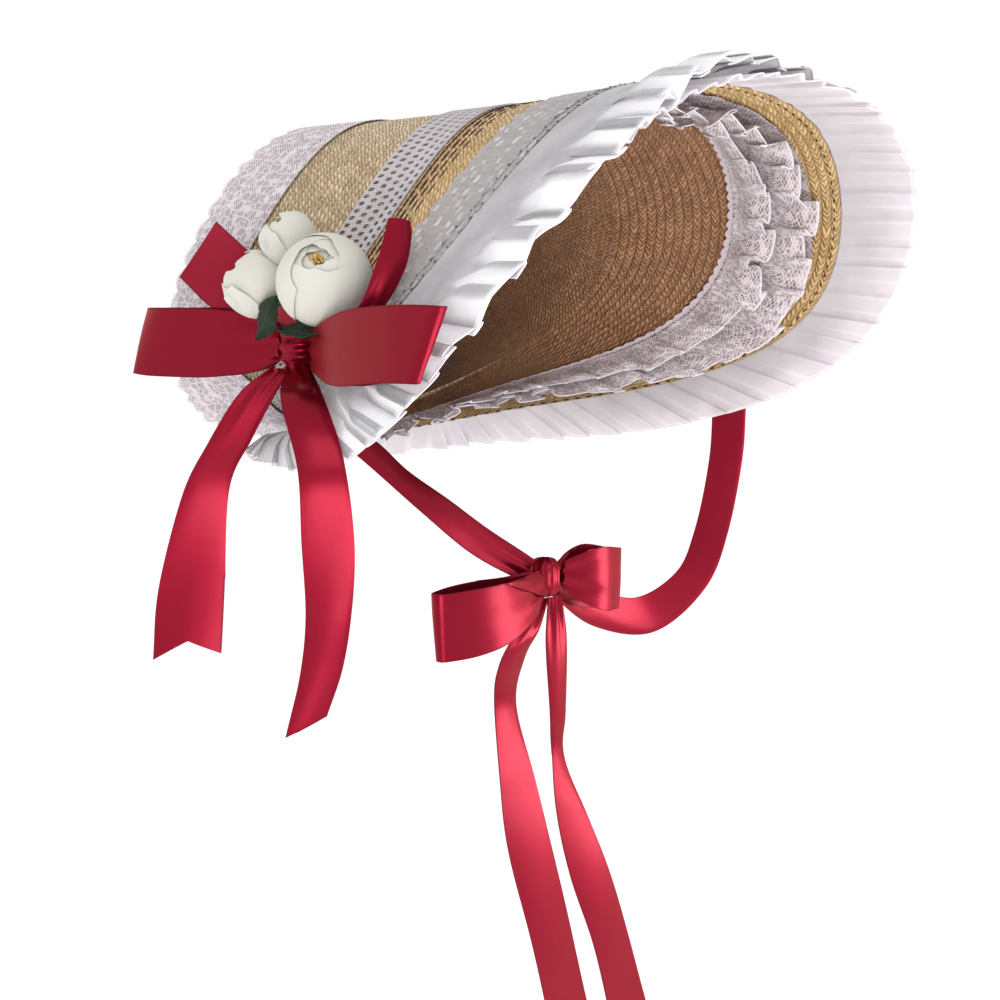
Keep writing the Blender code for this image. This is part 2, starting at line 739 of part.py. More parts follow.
def main():
    """Build every piece of the bonnet."""
    clear_scene()
    straw = material("braided_straw", STRAW_TAN)
    lace = material("white_lace", LACE_WHITE)
    chiffon = material("chiffon", CHIFFON)
    satin = material("crimson_satin", SATIN)
    crown(straw)
    brim(straw)
    crown_back_lace(lace)
    crown_lace_band(lace)
    brim_tulle(material("grey_tulle", TULLE_GREY))
    brim_ruffle(chiffon)
    pleated_frill(chiffon)
    inner_lace_lining(lace)
    inner_ruffle(lace)
    side_bow(satin)
    flowers(material("rose_petal", PETAL), material("leaf_green", LEAF))
    chin_ribbon(satin)


main()
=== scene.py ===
"""A straw bonnet with lace, tulle and frills, a side bow with roses and a ribbon tie."""

import logging
import math
from collections.abc import Callable, Sequence
from dataclasses import dataclass, field
from enum import Enum

import bmesh
import bpy
import numpy as np
from mathutils import Matrix, Vector


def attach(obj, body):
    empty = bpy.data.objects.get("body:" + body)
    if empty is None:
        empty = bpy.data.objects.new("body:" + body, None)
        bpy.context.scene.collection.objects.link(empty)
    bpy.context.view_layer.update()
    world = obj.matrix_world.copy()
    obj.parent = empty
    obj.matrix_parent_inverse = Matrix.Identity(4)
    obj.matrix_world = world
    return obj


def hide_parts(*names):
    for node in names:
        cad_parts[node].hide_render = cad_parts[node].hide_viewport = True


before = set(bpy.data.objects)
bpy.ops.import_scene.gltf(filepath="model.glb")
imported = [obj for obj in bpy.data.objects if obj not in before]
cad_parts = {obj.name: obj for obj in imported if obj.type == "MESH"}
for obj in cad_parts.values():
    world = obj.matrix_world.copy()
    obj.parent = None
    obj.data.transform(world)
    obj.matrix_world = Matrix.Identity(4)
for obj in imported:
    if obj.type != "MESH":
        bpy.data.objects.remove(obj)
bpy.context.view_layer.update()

LOG = logging.getLogger("bonnet")
MILLIMETRE = 0.001
TURN = 2.0 * math.pi
GOLDEN_ANGLE = 2.39996
HALF_CLOTH = 0.2
SHARP = math.radians(50.0)
WEAVE = "Weave"

Colour = tuple[float, float, float]
Grid = np.ndarray

# Brim edge and frill, from the top front (0) to the nape (180):
# angle, edge x, y, z, frill x, y, z, as shares of the form's sizes.
EDGE_ROWS = (
    (0.0, 0.0, -1.000, 1.000, 0.0, -0.980, 0.060),
    (30.0, 0.525, -1.021, 0.840, 0.073, -1.024, 0.010),
    (60.0, 0.894, -0.922, 0.302, 0.146, -1.000, 0.024),
    (90.0, 1.000, -0.615, -0.292, 0.244, -0.951, -0.220),
    (120.0, 0.713, -0.167, -0.566, 0.390, -0.659, -0.439),
    (150.0, 0.413, 0.115, -0.670, 0.488, 0.049, -0.370),
    (180.0, 0.0, 0.271, -0.735, 0.0, 0.537, -0.370),
)

# Ribbon rows: forward, outward and up from the bow's centre, lean of the width
# from upright, heading that it leans to, and width as a share of the ribbon's.
LOOP_BACK_ROWS = (
    (-10.2, 3, 1, 0, -50, 0.45),
    (-26, 7, 1, -4, -50, 0.80),
    (-53, 10, 0, 0, -50, 0.98),
    (-90, 10, -1, 6, -50, 1.00),
    (-106, 7, -1, 14, -50, 1.00),
    (-109, 3, -1, 14, -50, 1.00),
    (-105, -2, -1, 14, -50, 1.00),
    (-88, -5, -1, 6, -50, 1.00),
    (-53, -5, 0, 0, -50, 0.98),
    (-26, -3, 1, -4, -50, 0.75),
    (-10.2, -1, 1, 0, -50, 0.40),
)
LOOP_FRONT_ROWS = (
    (10.4, 4, 0, 0, -50, 0.40),
    (35, 26, 1, 2, -50, 0.60),
    (70, 46, 4, 6, -50, 0.98),
    (108, 60, 8, 12, -50, 1.00),
    (132, 65, 9, 18, -50, 1.00),
    (140, 65, 9, 18, -50, 1.00),
    (138, 61, 9, 18, -50, 1.00),
    (111, 54, 8, 12, -50, 1.00),
    (73, 39, 4, 6, -50, 0.98),
    (38, 19, 1, 2, -50, 0.56),
    (10.4, 0, 0, 0, -50, 0.38),
)
END_UPPER_ROWS = (
    (-6.9, -6.3, 7, 40, -50, 0.40),
    (-38, -14, 18, 38, -50, 0.80),
    (-64, -15, 30, 34, -50, 1.00),
    (-91, -18, 45, 34, -50, 1.00),
)
FOLD_UPPER_ROWS = (
    (61, 19.7, 18, 90, 143, 0.32),
    (68, 18.7, 26, 90, 143, 0.36),
    (69, 10.7, 40, 85, 143, 0.40),
    (66, 2.7, 53, 80, 143, 0.36),
    (64, -0.3, 60, 80, 143, 0.30),
)
TAIL_BACK_ROWS = (
    (-6.5, 8, -10.6, 95, -50, 0.30),
    (-18, 12, -23, 90, -50, 0.52),
    (-31, 18, -46, 85, -50, 0.62),
    (-43, 23, -71, 85, -50, 0.66),
    (-50, 27, -119, 92, -50, 0.95),
    (-53, 28, -153, 84, -50, 1.00),
)
TAIL_FRONT_ROWS = (
    (5, 7, -9.6, 90, -50, 0.34),
    (36, 35, -21, 88, -50, 0.58),
    (54, 42, -49, 80, -50, 0.62),
    (57, 41, -83, 84, -50, 0.70),
    (55, 39, -117, 80, -50, 0.62),
    (50, 39, -145, 76, -50, 0.60),
    (43, 42, -171, 62, -50, 0.64),
)
CHIN_LOOP_RIGHT_ROWS = (
    (6, 9, -2, 15, 180, 0.45),
    (11, 26, -7, 18, 180, 0.70),
    (14, 48, -11, 10, 180, 0.92),
    (12, 68, -13, 8, 180, 1.00),
    (6, 84, -14, 4, 180, 1.00),
    (2, 86, -14, 4, 180, 1.00),
    (-1, 83, -14, 4, 180, 1.00),
    (-3, 66, -13, 8, 180, 1.00),
    (-3, 46, -11, 10, 180, 0.90),
    (-2, 26, -7, 18, 180, 0.65),
    (0, 9, -2, 15, 180, 0.40),
)
CHIN_LOOP_LEFT_ROWS = (
    (6, -8.4, 0, 0, 180, 0.45),
    (11, -20, -2, 2, 180, 0.80),
    (13, -34, -4, 0, 180, 1.00),
    (10, -50, -6, -4, 180, 0.95),
    (5, -56, -7, -4, 180, 0.95),
    (0, -53, -7, -4, 180, 0.95),
    (-2, -35, -4, 0, 180, 1.00),
    (-1, -20, -2, 2, 180, 0.75),
    (1, -8.4, 0, 0, 180, 0.40),
)
CHIN_TAIL_RIGHT_ROWS = (
    (3, 5.5, -10.3, -95, 180, 0.28),
    (10, 27, -24, -88, 180, 0.60),
    (8, 36, -38, -86, 180, 0.62),
    (3, 35, -60, -100, 180, 0.55),
    (6, 29, -100, -94, 180, 0.80),
    (8, 21, -138, -98, 180, 1.00),
    (9, 4, -190, -100, 180, 1.05),
    (9, -14, -246, -100, 180, 1.05),
)
CHIN_TAIL_LEFT_ROWS = (
    (3, -4.5, -10.5, -90, 180, 0.28),
    (7, -1, -32, -94, 180, 0.50),
    (5, -5, -70, -108, 180, 0.45),
    (2, -9, -92, -125, 180, 0.42),
    (4, -18, -126, -110, 180, 0.80),
    (6, -32, -164, -100, 180, 1.00),
    (7, -50, -206, -100, 180, 1.00),
    (7, -68, -254, -100, 180, 1.05),
)
STRAP_RIGHT_ROWS = (
    (-39.6, 117.2, 83, -95, 180, 0.38),
    (-34, 104, 77, -95, 180, 0.70),
    (-26, 86, 60, -92, 180, 0.65),
    (-16, 66, 42, -75, 180, 0.60),
    (-9, 40, 22, -60, 180, 0.55),
    (-2.5, 9.6, 4, -40, 180, 0.40),
)
STRAP_LEFT_ROWS = (
    (6, -158, 79, -95, 150, 0.60),
    (8, -152, 48, -96, 150, 0.60),
    (5, -143, 8, -98, 150, 0.62),
    (2, -128, -18, -120, 160, 0.66),
    (-6, -96, -34, -150, 170, 0.70),
    (-10, -52, -24, -165, 180, 0.66),
    (-4.2, -9.2, -5, -160, 180, 0.40),
)


def unit(vectors: Grid) -> Grid:
    """Bring vectors to length one, leaving null vectors as they are."""
    size = np.linalg.norm(vectors, axis=-1, keepdims=True)
    return vectors / np.where(size < 1e-9, 1.0, size)


def grid_normals(grid: Grid, closed: bool) -> Grid:
    """Find the normals of a grid of points.

    Args:
        grid: Points as rows by columns by three.
        closed: Whether the last row meets the first.

    Returns:
        One unit vector for each point.
    """
    if closed:
        along = np.roll(grid, -1, axis=0) - np.roll(grid, 1, axis=0)
    else:
        along = np.gradient(grid, axis=0)
    return unit(np.cross(np.gradient(grid, axis=1), along))


def outward(grid: Grid) -> Grid:
    """Find the normals of a closed band of the bonnet, turned away from the head."""
    normals = grid_normals(grid, True)
    return -normals if normals[0, 0, 2] < 0 else normals


def smoothstep(value: Grid, low: float, high: float) -> Grid:
    """Rise smoothly from zero at low to one at high."""
    share = np.clip((value - low) / (high - low), 0.0, 1.0)
    return share * share * (3.0 - 2.0 * share)


def mean_lengths(grid: Grid) -> Grid:
    """Measure how far each column lies from the first, as a mean over the rows."""
    steps = np.linalg.norm(np.diff(grid, axis=1), axis=-1).mean(axis=0)
    return np.concatenate([[0.0], np.cumsum(steps)])


def gentle_noise(angles: Grid, lowest: int, highest: int, seed: int) -> Grid:
    """Make a smooth noise round the bonnet that closes on itself.

    Args:
        angles: Where the noise is wanted.
        lowest: Number of waves round the bonnet of the slowest part.
        highest: Number of waves of the fastest part.
        seed: Picks the noise.

    Returns:
        Values of about minus one to one.
    """
    picks = np.random.default_rng(seed)
    waves = np.arange(lowest, highest + 1)
    phases = picks.uniform(0.0, TURN, len(waves))
    strengths = picks.uniform(0.5, 1.0, len(waves))
    made = (strengths * np.sin(np.outer(angles, waves) + phases)).sum(axis=1)
    return made / np.sqrt((strengths**2).sum())


def uneven_phase(angles: Grid, count: int, sway: float, seed: int) -> Grid:
    """Count folds round the bonnet, some wider than others.

    Args:
        angles: Where the count is wanted.
        count: Number of folds in all.
        sway: How much the width of a fold varies, as a share.
        seed: Picks which folds are wide.

    Returns:
        The number of folds passed, with a fraction inside a fold.
    """
    waves = (max(3, count // 7), 3 * max(3, count // 7), seed)
    fine = np.linspace(0.0, TURN, 4000)
    steepest = np.abs(np.gradient(gentle_noise(fine, *waves), fine)).max()
    return count / TURN * (angles + sway / steepest * gentle_noise(angles, *waves))


@dataclass(frozen=True)
class BonnetForm:
    """The lines that every piece of the bonnet follows, in millimetres."""

    crown_radius: float = 92.0
    crown_depth: float = 92.0
    tip_depth: float = 15.0
    base_tilt: float = 31.6
    tip_tilt: float = 15.6
    tip_centre: tuple[float, float] = (84.0, 2.8)
    base_height: float = 11.8
    base_bow: float = 26.7
    base_lean: float = 7.4
    tip_bow: float = 2.5
    tip_lean: float = 6.0
    join_share: float = 0.135
    kink: float = 0.12
    brim_half_width: float = 160.0
    brim_reach: float = 192.0
    brim_rise: float = 106.0
    frill_length: float = 41.0
    straw: float = 2.4
    gap: float = 0.3
    seat: float = 0.8

    def angles(self, count: int) -> Grid:
        """Space angles evenly round the bonnet."""
        return np.arange(count) * TURN / count

    def _even(self, column: int, angles: Grid) -> Grid:
        """Follow a column of EDGE_ROWS that is the same on both sides."""
        rows = np.array(EDGE_ROWS)
        waves = np.arange(len(rows))
        known = np.cos(np.outer(np.radians(rows[:, 0]), waves))
        return np.cos(np.outer(angles, waves)) @ np.linalg.solve(known, rows[:, column])

    def _odd(self, column: int, angles: Grid) -> Grid:
        """Follow a column of EDGE_ROWS that is opposite on the two sides."""
        rows = np.array(EDGE_ROWS)[1:-1]
        waves = np.arange(1, len(rows) + 1)
        known = np.sin(np.outer(np.radians(rows[:, 0]), waves))
        return np.sin(np.outer(angles, waves)) @ np.linalg.solve(known, rows[:, column])

    def _ring(
        self,
        angles: Grid,
        centre: tuple[float, float],
        radii: tuple[float, float, float],
        tilt: float,
        bow: float,
        lean: float,
    ) -> Grid:
        """Lay a ring about the head.

        Args:
            angles: Where points are wanted.
            centre: Its place along Y and Z.
            radii: Half its width, its rise above and its drop below the centre.
            tilt: How far its top leans forward, in degrees.
            bow: How far its sides bow forward.
            lean: How much more the upper half bows than the lower.

        Returns:
            One point for each angle.
        """
        turn = math.radians(tilt)
        cosine, sine = np.cos(angles), np.sin(angles)
        height = np.where(cosine > 0, radii[1], radii[2]) * cosine
        push = bow * sine**2 + 2.0 * lean * cosine * sine**2
        return np.stack(
            [
                radii[0] * sine,
                centre[0] - height * math.sin(turn) - push * math.cos(turn),
                centre[1] + height * math.cos(turn) - push * math.sin(turn),
            ],
            axis=-1,
        )

    def tip_ring(self, angles: Grid) -> Grid:
        """Lay the back edge of the crown."""
        size = self.crown_radius
        radii = (size - 5.7, size - 2.0, size - 8.0)
        return self._ring(angles, self.tip_centre, radii, self.tip_tilt, self.tip_bow, self.tip_lean)

    def base_ring(self, angles: Grid) -> Grid:
        """Lay the base of the crown, where its wall turns to the brim."""
        size = self.crown_radius
        centre = (self.tip_centre[0] - self.crown_depth, self.base_height)
        radii = (size + 3.5, size + 7.2, size)
        return self._ring(angles, centre, radii, self.base_tilt, self.base_bow, self.base_lean)

    def brim_edge(self, angles: Grid) -> Grid:
        """Lay the outer edge of the straw brim."""
        return np.stack(
            [
                self.brim_half_width * self._odd(1, angles),
                self.brim_reach * self._even(2, angles),
                self.brim_rise * self._even(3, angles),
            ],
            axis=-1,
        )

    def frill_reach(self, angles: Grid) -> Grid:
        """Give the way from the brim edge to the free edge of the frill."""
        reach = [self._odd(4, angles), self._even(5, angles), self._even(6, angles)]
        return self.frill_length * np.stack(reach, axis=-1)

    def join_ring(self, angles: Grid) -> Grid:
        """Lay the seam between crown and brim."""
        base = self.base_ring(angles)
        share = self.join_share * np.sqrt((1.0 + np.cos(angles)) / 2.0)
        return base + share[:, None] * (self.brim_edge(angles) - base)

    def crown_face(self, angles: Grid, shares: Grid) -> Grid:
        """Lay points on the outside of the crown.

        Args:
            angles: One angle for each row.
            shares: 0 at the brim, 1 at the back edge, 2 at the middle of the back.

        Returns:
            Points as rows by columns by three.
        """
        join, base, tip = self.join_ring(angles), self.base_ring(angles), self.tip_ring(angles)
        line = tip - join
        offset = base - join - self.kink * line
        along = np.sum(offset * line, axis=-1, keepdims=True)
        offset -= along / np.sum(line * line, axis=-1, keepdims=True) * line
        wall = np.clip(shares, 0.0, 1.0)[..., None]
        bend = np.minimum(wall / self.kink, (1.0 - wall) / (1.0 - self.kink))
        side = join[:, None] + wall * line[:, None] + bend * offset[:, None]
        swing = np.clip(shares - 1.0, 0.0, 1.0)[..., None] * math.pi / 2
        turn = math.radians(self.tip_tilt)
        centre = tip.mean(axis=0)
        inward = np.clip(np.cos(swing), 0.0, 1.0) ** 0.6
        depth = self.tip_depth * np.sin(swing) ** 0.8
        back = np.array([0.0, math.cos(turn), math.sin(turn)])
        round_back = centre + inward * (tip - centre)[:, None] + depth * back
        return np.where(shares[..., None] > 1.0, round_back, side)

    def brim_face(self, angles: Grid, shares: Grid) -> Grid:
        """Lay points on the outside of the brim.

        Args:
            angles: One angle for each row.
            shares: 0 at the crown, 1 at the straw's edge, 2 at the frill's edge.

        Returns:
            Points as rows by columns by three.
        """
        join, edge = self.join_ring(angles)[:, None], self.brim_edge(angles)[:, None]
        straw = join + np.minimum(shares, 1.0)[..., None] * (edge - join)
        return straw + np.maximum(shares - 1.0, 0.0)[..., None] * self.frill_reach(angles)[:, None]

    def slid_face(self, angles: Grid, shares: Grid) -> Grid:
        """Lay points on the brim's outside with an angle of its own for each point."""
        columns = range(shares.shape[1])
        return np.stack([self.brim_face(angles[:, k], shares[:, k : k + 1])[:, 0] for k in columns], axis=1)

    def brim_width(self, angles: Grid) -> Grid:
        """Measure the straw brim from crown to edge."""
        return np.linalg.norm(self.brim_edge(angles) - self.join_ring(angles), axis=-1)

    def crown_length(self, angles: Grid) -> Grid:
        """Measure the crown's wall from brim to back edge."""
        return np.linalg.norm(self.tip_ring(angles) - self.join_ring(angles), axis=-1)

    def tulle_start(self, angles: Grid) -> Grid:
        """Give the share of the brim that the bare straw strip takes."""
        start = 0.08 + 0.28 * ((1.0 + np.cos(angles)) / 2.0) ** 0.6
        return np.maximum(start, 6.0 / self.brim_width(angles))

    def seam(self, angles: Grid) -> Grid:
        """Give the share of the brim where the outer ruffle is sewn on."""
        return 0.70 + 0.077 * np.cos(angles)

    def lining_start(self, angles: Grid) -> Grid:
        """Give the share of the brim where its lining starts."""
        return 0.449 + 0.114 * np.cos(angles)


class MeshDraft:
    """Points, faces and weave coordinates of a mesh while it is laid out, in millimetres."""

    def __init__(self) -> None:
        """Start an empty mesh."""
        self.points: list[Grid] = []
        self.faces: list[Grid] = []
        self.weave: list[Grid] = []
        self.finishes: list[Grid] = []
        self.count = 0

    def take(self, points: Grid) -> Grid:
        """Add points and give their numbers in the same arrangement."""
        shape = points.shape[:-1]
        number = self.count + np.arange(int(np.prod(shape))).reshape(shape)
        self.points.append(points.reshape(-1, 3))
        self.count += number.size
        return number

    def fill(self, corners: Grid, weave: Grid, finish: int = 0) -> None:
        """Add faces by the numbers of their corners.

        Args:
            corners: Faces by corners.
            weave: Faces by corners by two.
            finish: Which of the piece's materials they take.
        """
        self.faces.append(corners)
        self.weave.append(weave.reshape(-1, 2))
        self.finishes.append(np.full(len(corners), finish))

    def patch(self, number: Grid, weave: Grid, finish: int = 0) -> None:
        """Span a grid of numbered points with faces."""
        first, last = slice(-1), slice(1, None)
        ways = ((first, first), (last, first), (last, last), (first, last))
        corners = np.stack([number[way] for way in ways], axis=-1).reshape(-1, 4)
        self.fill(corners, np.stack([weave[way] for way in ways], axis=2).reshape(-1, 4, 2), finish)

    def skin(self, grid: Grid, weave: Grid, closed: bool, finish: int = 0) -> Grid:
        """Add a grid of points with its faces.

        Args:
            grid: Points as rows by columns by three.
            weave: Coordinates of the same rows, with one row more where closed.
            closed: Whether the last row meets the first.
            finish: Which of the piece's materials it takes.

        Returns:
            The points' numbers, with the first row again at the end where closed.
        """
        number = self.take(grid)
        if closed:
            number = np.concatenate([number, number[:1]])
        self.patch(number, weave, finish)
        return number

    def wall(self, upper: Grid, lower: Grid, weave: Grid, closed: bool) -> None:
        """Add a thin closed piece between two grids of the same size."""
        top, low = self.skin(upper, weave, closed), self.skin(lower, weave, closed)
        for k in (0, -1):
            self.rim(top[:, k], low[:, k], weave[:, k])
        if not closed:
            for i in (0, -1):
                self.rim(top[i], low[i], weave[i])

    def rim(self, first: Grid, second: Grid, weave: Grid) -> None:
        """Join two lines of numbered points."""
        self.patch(np.stack([first, second], axis=1), np.stack([weave, weave], axis=1))

    def build(self, name: str, *materials: bpy.types.Material) -> bpy.types.Object:
        """Make the object.

        Args:
            name: Name of the piece.
            *materials: Its finishes, in the order of their numbers.

        Returns:
            The new object, riding on the bonnet's one body.
        """
        points = np.concatenate(self.points) * MILLIMETRE
        mesh = bpy.data.meshes.new(name)
        mesh.from_pydata(points.tolist(), [], [face for part in self.faces for face in part.tolist()])
        places = np.concatenate(self.weave).astype(np.float32).ravel()
        mesh.uv_layers.new(name=WEAVE).uv.foreach_set("vector", places)
        mesh.polygons.foreach_set("material_index", np.concatenate(self.finishes).astype(np.int32))
        work = bmesh.new()
        work.from_mesh(mesh)
        bmesh.ops.recalc_face_normals(work, faces=work.faces)
        work.to_mesh(mesh)
        work.free()
        mesh.polygons.foreach_set("use_smooth", np.ones(len(mesh.polygons), bool))
        mesh.set_sharp_from_angle(angle=SHARP)
        for item in materials:
            mesh.materials.append(item)
        piece = bpy.data.objects.new(name, mesh)
        bpy.context.scene.collection.objects.link(piece)
        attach(piece, "root")
        return piece


def closed_weave(rows: int, columns: Grid, turns: float) -> Grid:
    """Make weave coordinates for a closed band.

    Args:
        rows: Number of rows of its grid.
        columns: The second coordinate of each column.
        turns: The first coordinate after one turn.

    Returns:
        Coordinates with one row more than the grid.
    """
    along = np.arange(rows + 1) * turns / rows
    return np.stack(np.broadcast_arrays(along[:, None], columns[None]), axis=-1)


def folded_weave(along: Grid, across: Grid, turns: float) -> Grid:
    """Make weave coordinates for a closed band whose rows are unevenly spaced.

    Args:
        along: The first coordinate of each row.
        across: The second coordinate of each column, or of each point.
        turns: How much the first coordinate grows in one turn.

    Returns:
        Coordinates with one row more than the grid.
    """
    weave = np.stack(np.broadcast_arrays(along[:, None], across), axis=-1)
    return np.concatenate([weave, weave[:1] + np.array([turns, 0.0])])


def add_tube(draft: MeshDraft, path: Grid, up: Grid, radius: float, sides: int, closed: bool) -> None:
    """Add a round tube along a path.

    Args:
        draft: The mesh that it goes to.
        path: Points of its middle line.
        up: A direction across it at each point.
        radius: Half its thickness.
        sides: Number of faces round it.
        closed: Whether its end meets its start.
    """
    if closed:
        along = unit(np.roll(path, -1, axis=0) - np.roll(path, 1, axis=0))
    else:
        along = unit(np.gradient(path, axis=0))
    side = unit(np.cross(along, up))
    rise = np.cross(side, along)
    turn = np.arange(sides) * TURN / sides
    round_it = np.cos(turn)[:, None] * side[:, None] + np.sin(turn)[:, None] * rise[:, None]
    ring = path[:, None] + radius * round_it
    number = draft.take(ring)
    if closed:
        number = np.concatenate([number, number[:1]])
    number = np.concatenate([number, number[:, :1]], axis=1)
    rows = np.arange(len(number)) * 0.5
    weave = np.stack(np.broadcast_arrays(rows[:, None], np.arange(sides + 1) / sides), axis=-1)
    draft.patch(number, weave)
    if not closed:
        for i, end in ((0, path[0]), (-1, path[-1])):
            middle = int(draft.take(end[None])[0])
            corners = np.array([[number[i, k], number[i, k + 1], middle] for k in range(sides)])
            draft.fill(corners, np.zeros((sides, 3, 2)))


def add_beads(
    draft: MeshDraft, centres: Grid, along: Grid, up: Grid, size: tuple[float, float, float]
) -> None:
    """Add small rounded beads or stitches.

    Args:
        draft: The mesh that they go to.
        centres: Their middles.
        along: Their long directions.
        up: The direction in which each stands proud.
        size: Half their length, width and height.
    """
    side = unit(np.cross(up, along))
    up = np.cross(along, side)
    sides, levels = 6, np.array([-0.82, 0.0, 0.82])
    turn = np.arange(sides) * TURN / sides
    width = np.sqrt(1.0 - np.abs(levels) ** 3)
    ring = (
        centres[:, None, None]
        + size[0] * levels[:, None, None] * along[:, None, None]
        + size[1] * (width[:, None] * np.cos(turn))[..., None] * side[:, None, None]
        + size[2] * (width[:, None] * np.sin(turn))[..., None] * up[:, None, None]
    )
    number = draft.take(ring)
    tips = draft.take(centres[:, None] + size[0] * np.array([-1.0, 1.0])[:, None] * along[:, None])
    number = np.concatenate([number, number[:, :, :1]], axis=2)
    quads = np.stack(
        [number[:, :-1, :-1], number[:, 1:, :-1], number[:, 1:, 1:], number[:, :-1, 1:]], axis=-1
    ).reshape(-1, 4)
    draft.fill(quads, np.zeros((len(quads), 4, 2)))
    for level, tip in ((0, 0), (-1, 1)):
        before, after = number[:, level, :-1], number[:, level, 1:]
        point = np.broadcast_to(tips[:, tip, None], after.shape)
        ends = np.stack([before, after, point], axis=-1).reshape(-1, 3)
        draft.fill(ends, np.zeros((len(ends), 3, 2)))


class Held(str, Enum):
    """How a sheet of cloth is held."""

    LAID = "laid"
    GATHERED = "gathered"
    HUNG = "hung"
    FOLDED = "folded"


class Slot(str, Enum):
    """The part's material slots."""

    STRAW = "braided_straw"
    LACE = "white_lace"
    TULLE = "grey_tulle"
    CHIFFON = "chiffon"
    SATIN = "crimson_satin"
    PETAL = "rose_petal"
    LEAF = "leaf_green"


def stand_for(node: str, slot: Slot, piece: bpy.types.Object, *borders: bpy.types.Object) -> None:
    """Hide the CAD node that a piece replaces."""
    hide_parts(node)


def declare_cloth(
    grid: Grid,
    tiers: Sequence[Grid] = (),
) -> None:
    """Measure the length round a sheet and its tiers, without keeping the result.

    Args:
        grid: The middle of the cloth in millimetres, rows along its length.
        tiers: Further tiers of the same cloth.
    """
    sheets = [grid, *tiers]
    rounds = [np.linalg.norm(np.roll(each, -1, axis=0) - each, axis=-1).sum(axis=0).mean() for each in sheets]


class Flow:
    """A socket of a shader node that takes part in Python expressions."""

    def __init__(self, graph: "Graph", socket: bpy.types.NodeSocket) -> None:
        """Wrap a socket of a graph."""
        self.graph = graph
        self.socket = socket

    def _work(self, operation: str, *values: "Flow | float") -> "Flow":
        """Add a Math node."""
        return self.graph.node("ShaderNodeMath", {"operation": operation}, dict(enumerate(values)))

    def __add__(self, other: "Flow | float") -> "Flow":
        """Add two values."""
        return self._work("ADD", self, other)

    def __radd__(self, other: float) -> "Flow":
        """Add a value to a number."""
        return self._work("ADD", other, self)

    def __sub__(self, other: "Flow | float") -> "Flow":
        """Subtract a value."""
        return self._work("SUBTRACT", self, other)

    def __rsub__(self, other: float) -> "Flow":
        """Subtract from a number."""
        return self._work("SUBTRACT", other, self)

    def __mul__(self, other: "Flow | float") -> "Flow":
        """Multiply two values."""
        return self._work("MULTIPLY", self, other)

    def __rmul__(self, other: float) -> "Flow":
        """Multiply a number by a value."""
        return self._work("MULTIPLY", other, self)

    def __pow__(self, other: "Flow | float") -> "Flow":
        """Raise to a power."""
        return self._work("POWER", self, other)

    def floor(self) -> "Flow":
        """Round down."""
        return self._work("FLOOR", self)

    def fraction(self) -> "Flow":
        """Keep what lies behind the point."""
        return self._work("FRACT", self)

    def absolute(self) -> "Flow":
        """Drop the sign."""
        return self._work("ABSOLUTE", self)

    def sine(self) -> "Flow":
        """Take the sine."""
        return self._work("SINE", self)

    def most(self, other: "Flow | float") -> "Flow":
        """Take the larger of two values."""
        return self._work("MAXIMUM", self, other)

    def step(self, low: float, high: float) -> "Flow":
        """Rise smoothly from zero at low to one at high, or fall where high is less."""
        return self.graph.node(
            "ShaderNodeMapRange",
            {"interpolation_type": "SMOOTHSTEP"},
            {"Value": self, "From Min": low, "From Max": high},
        )


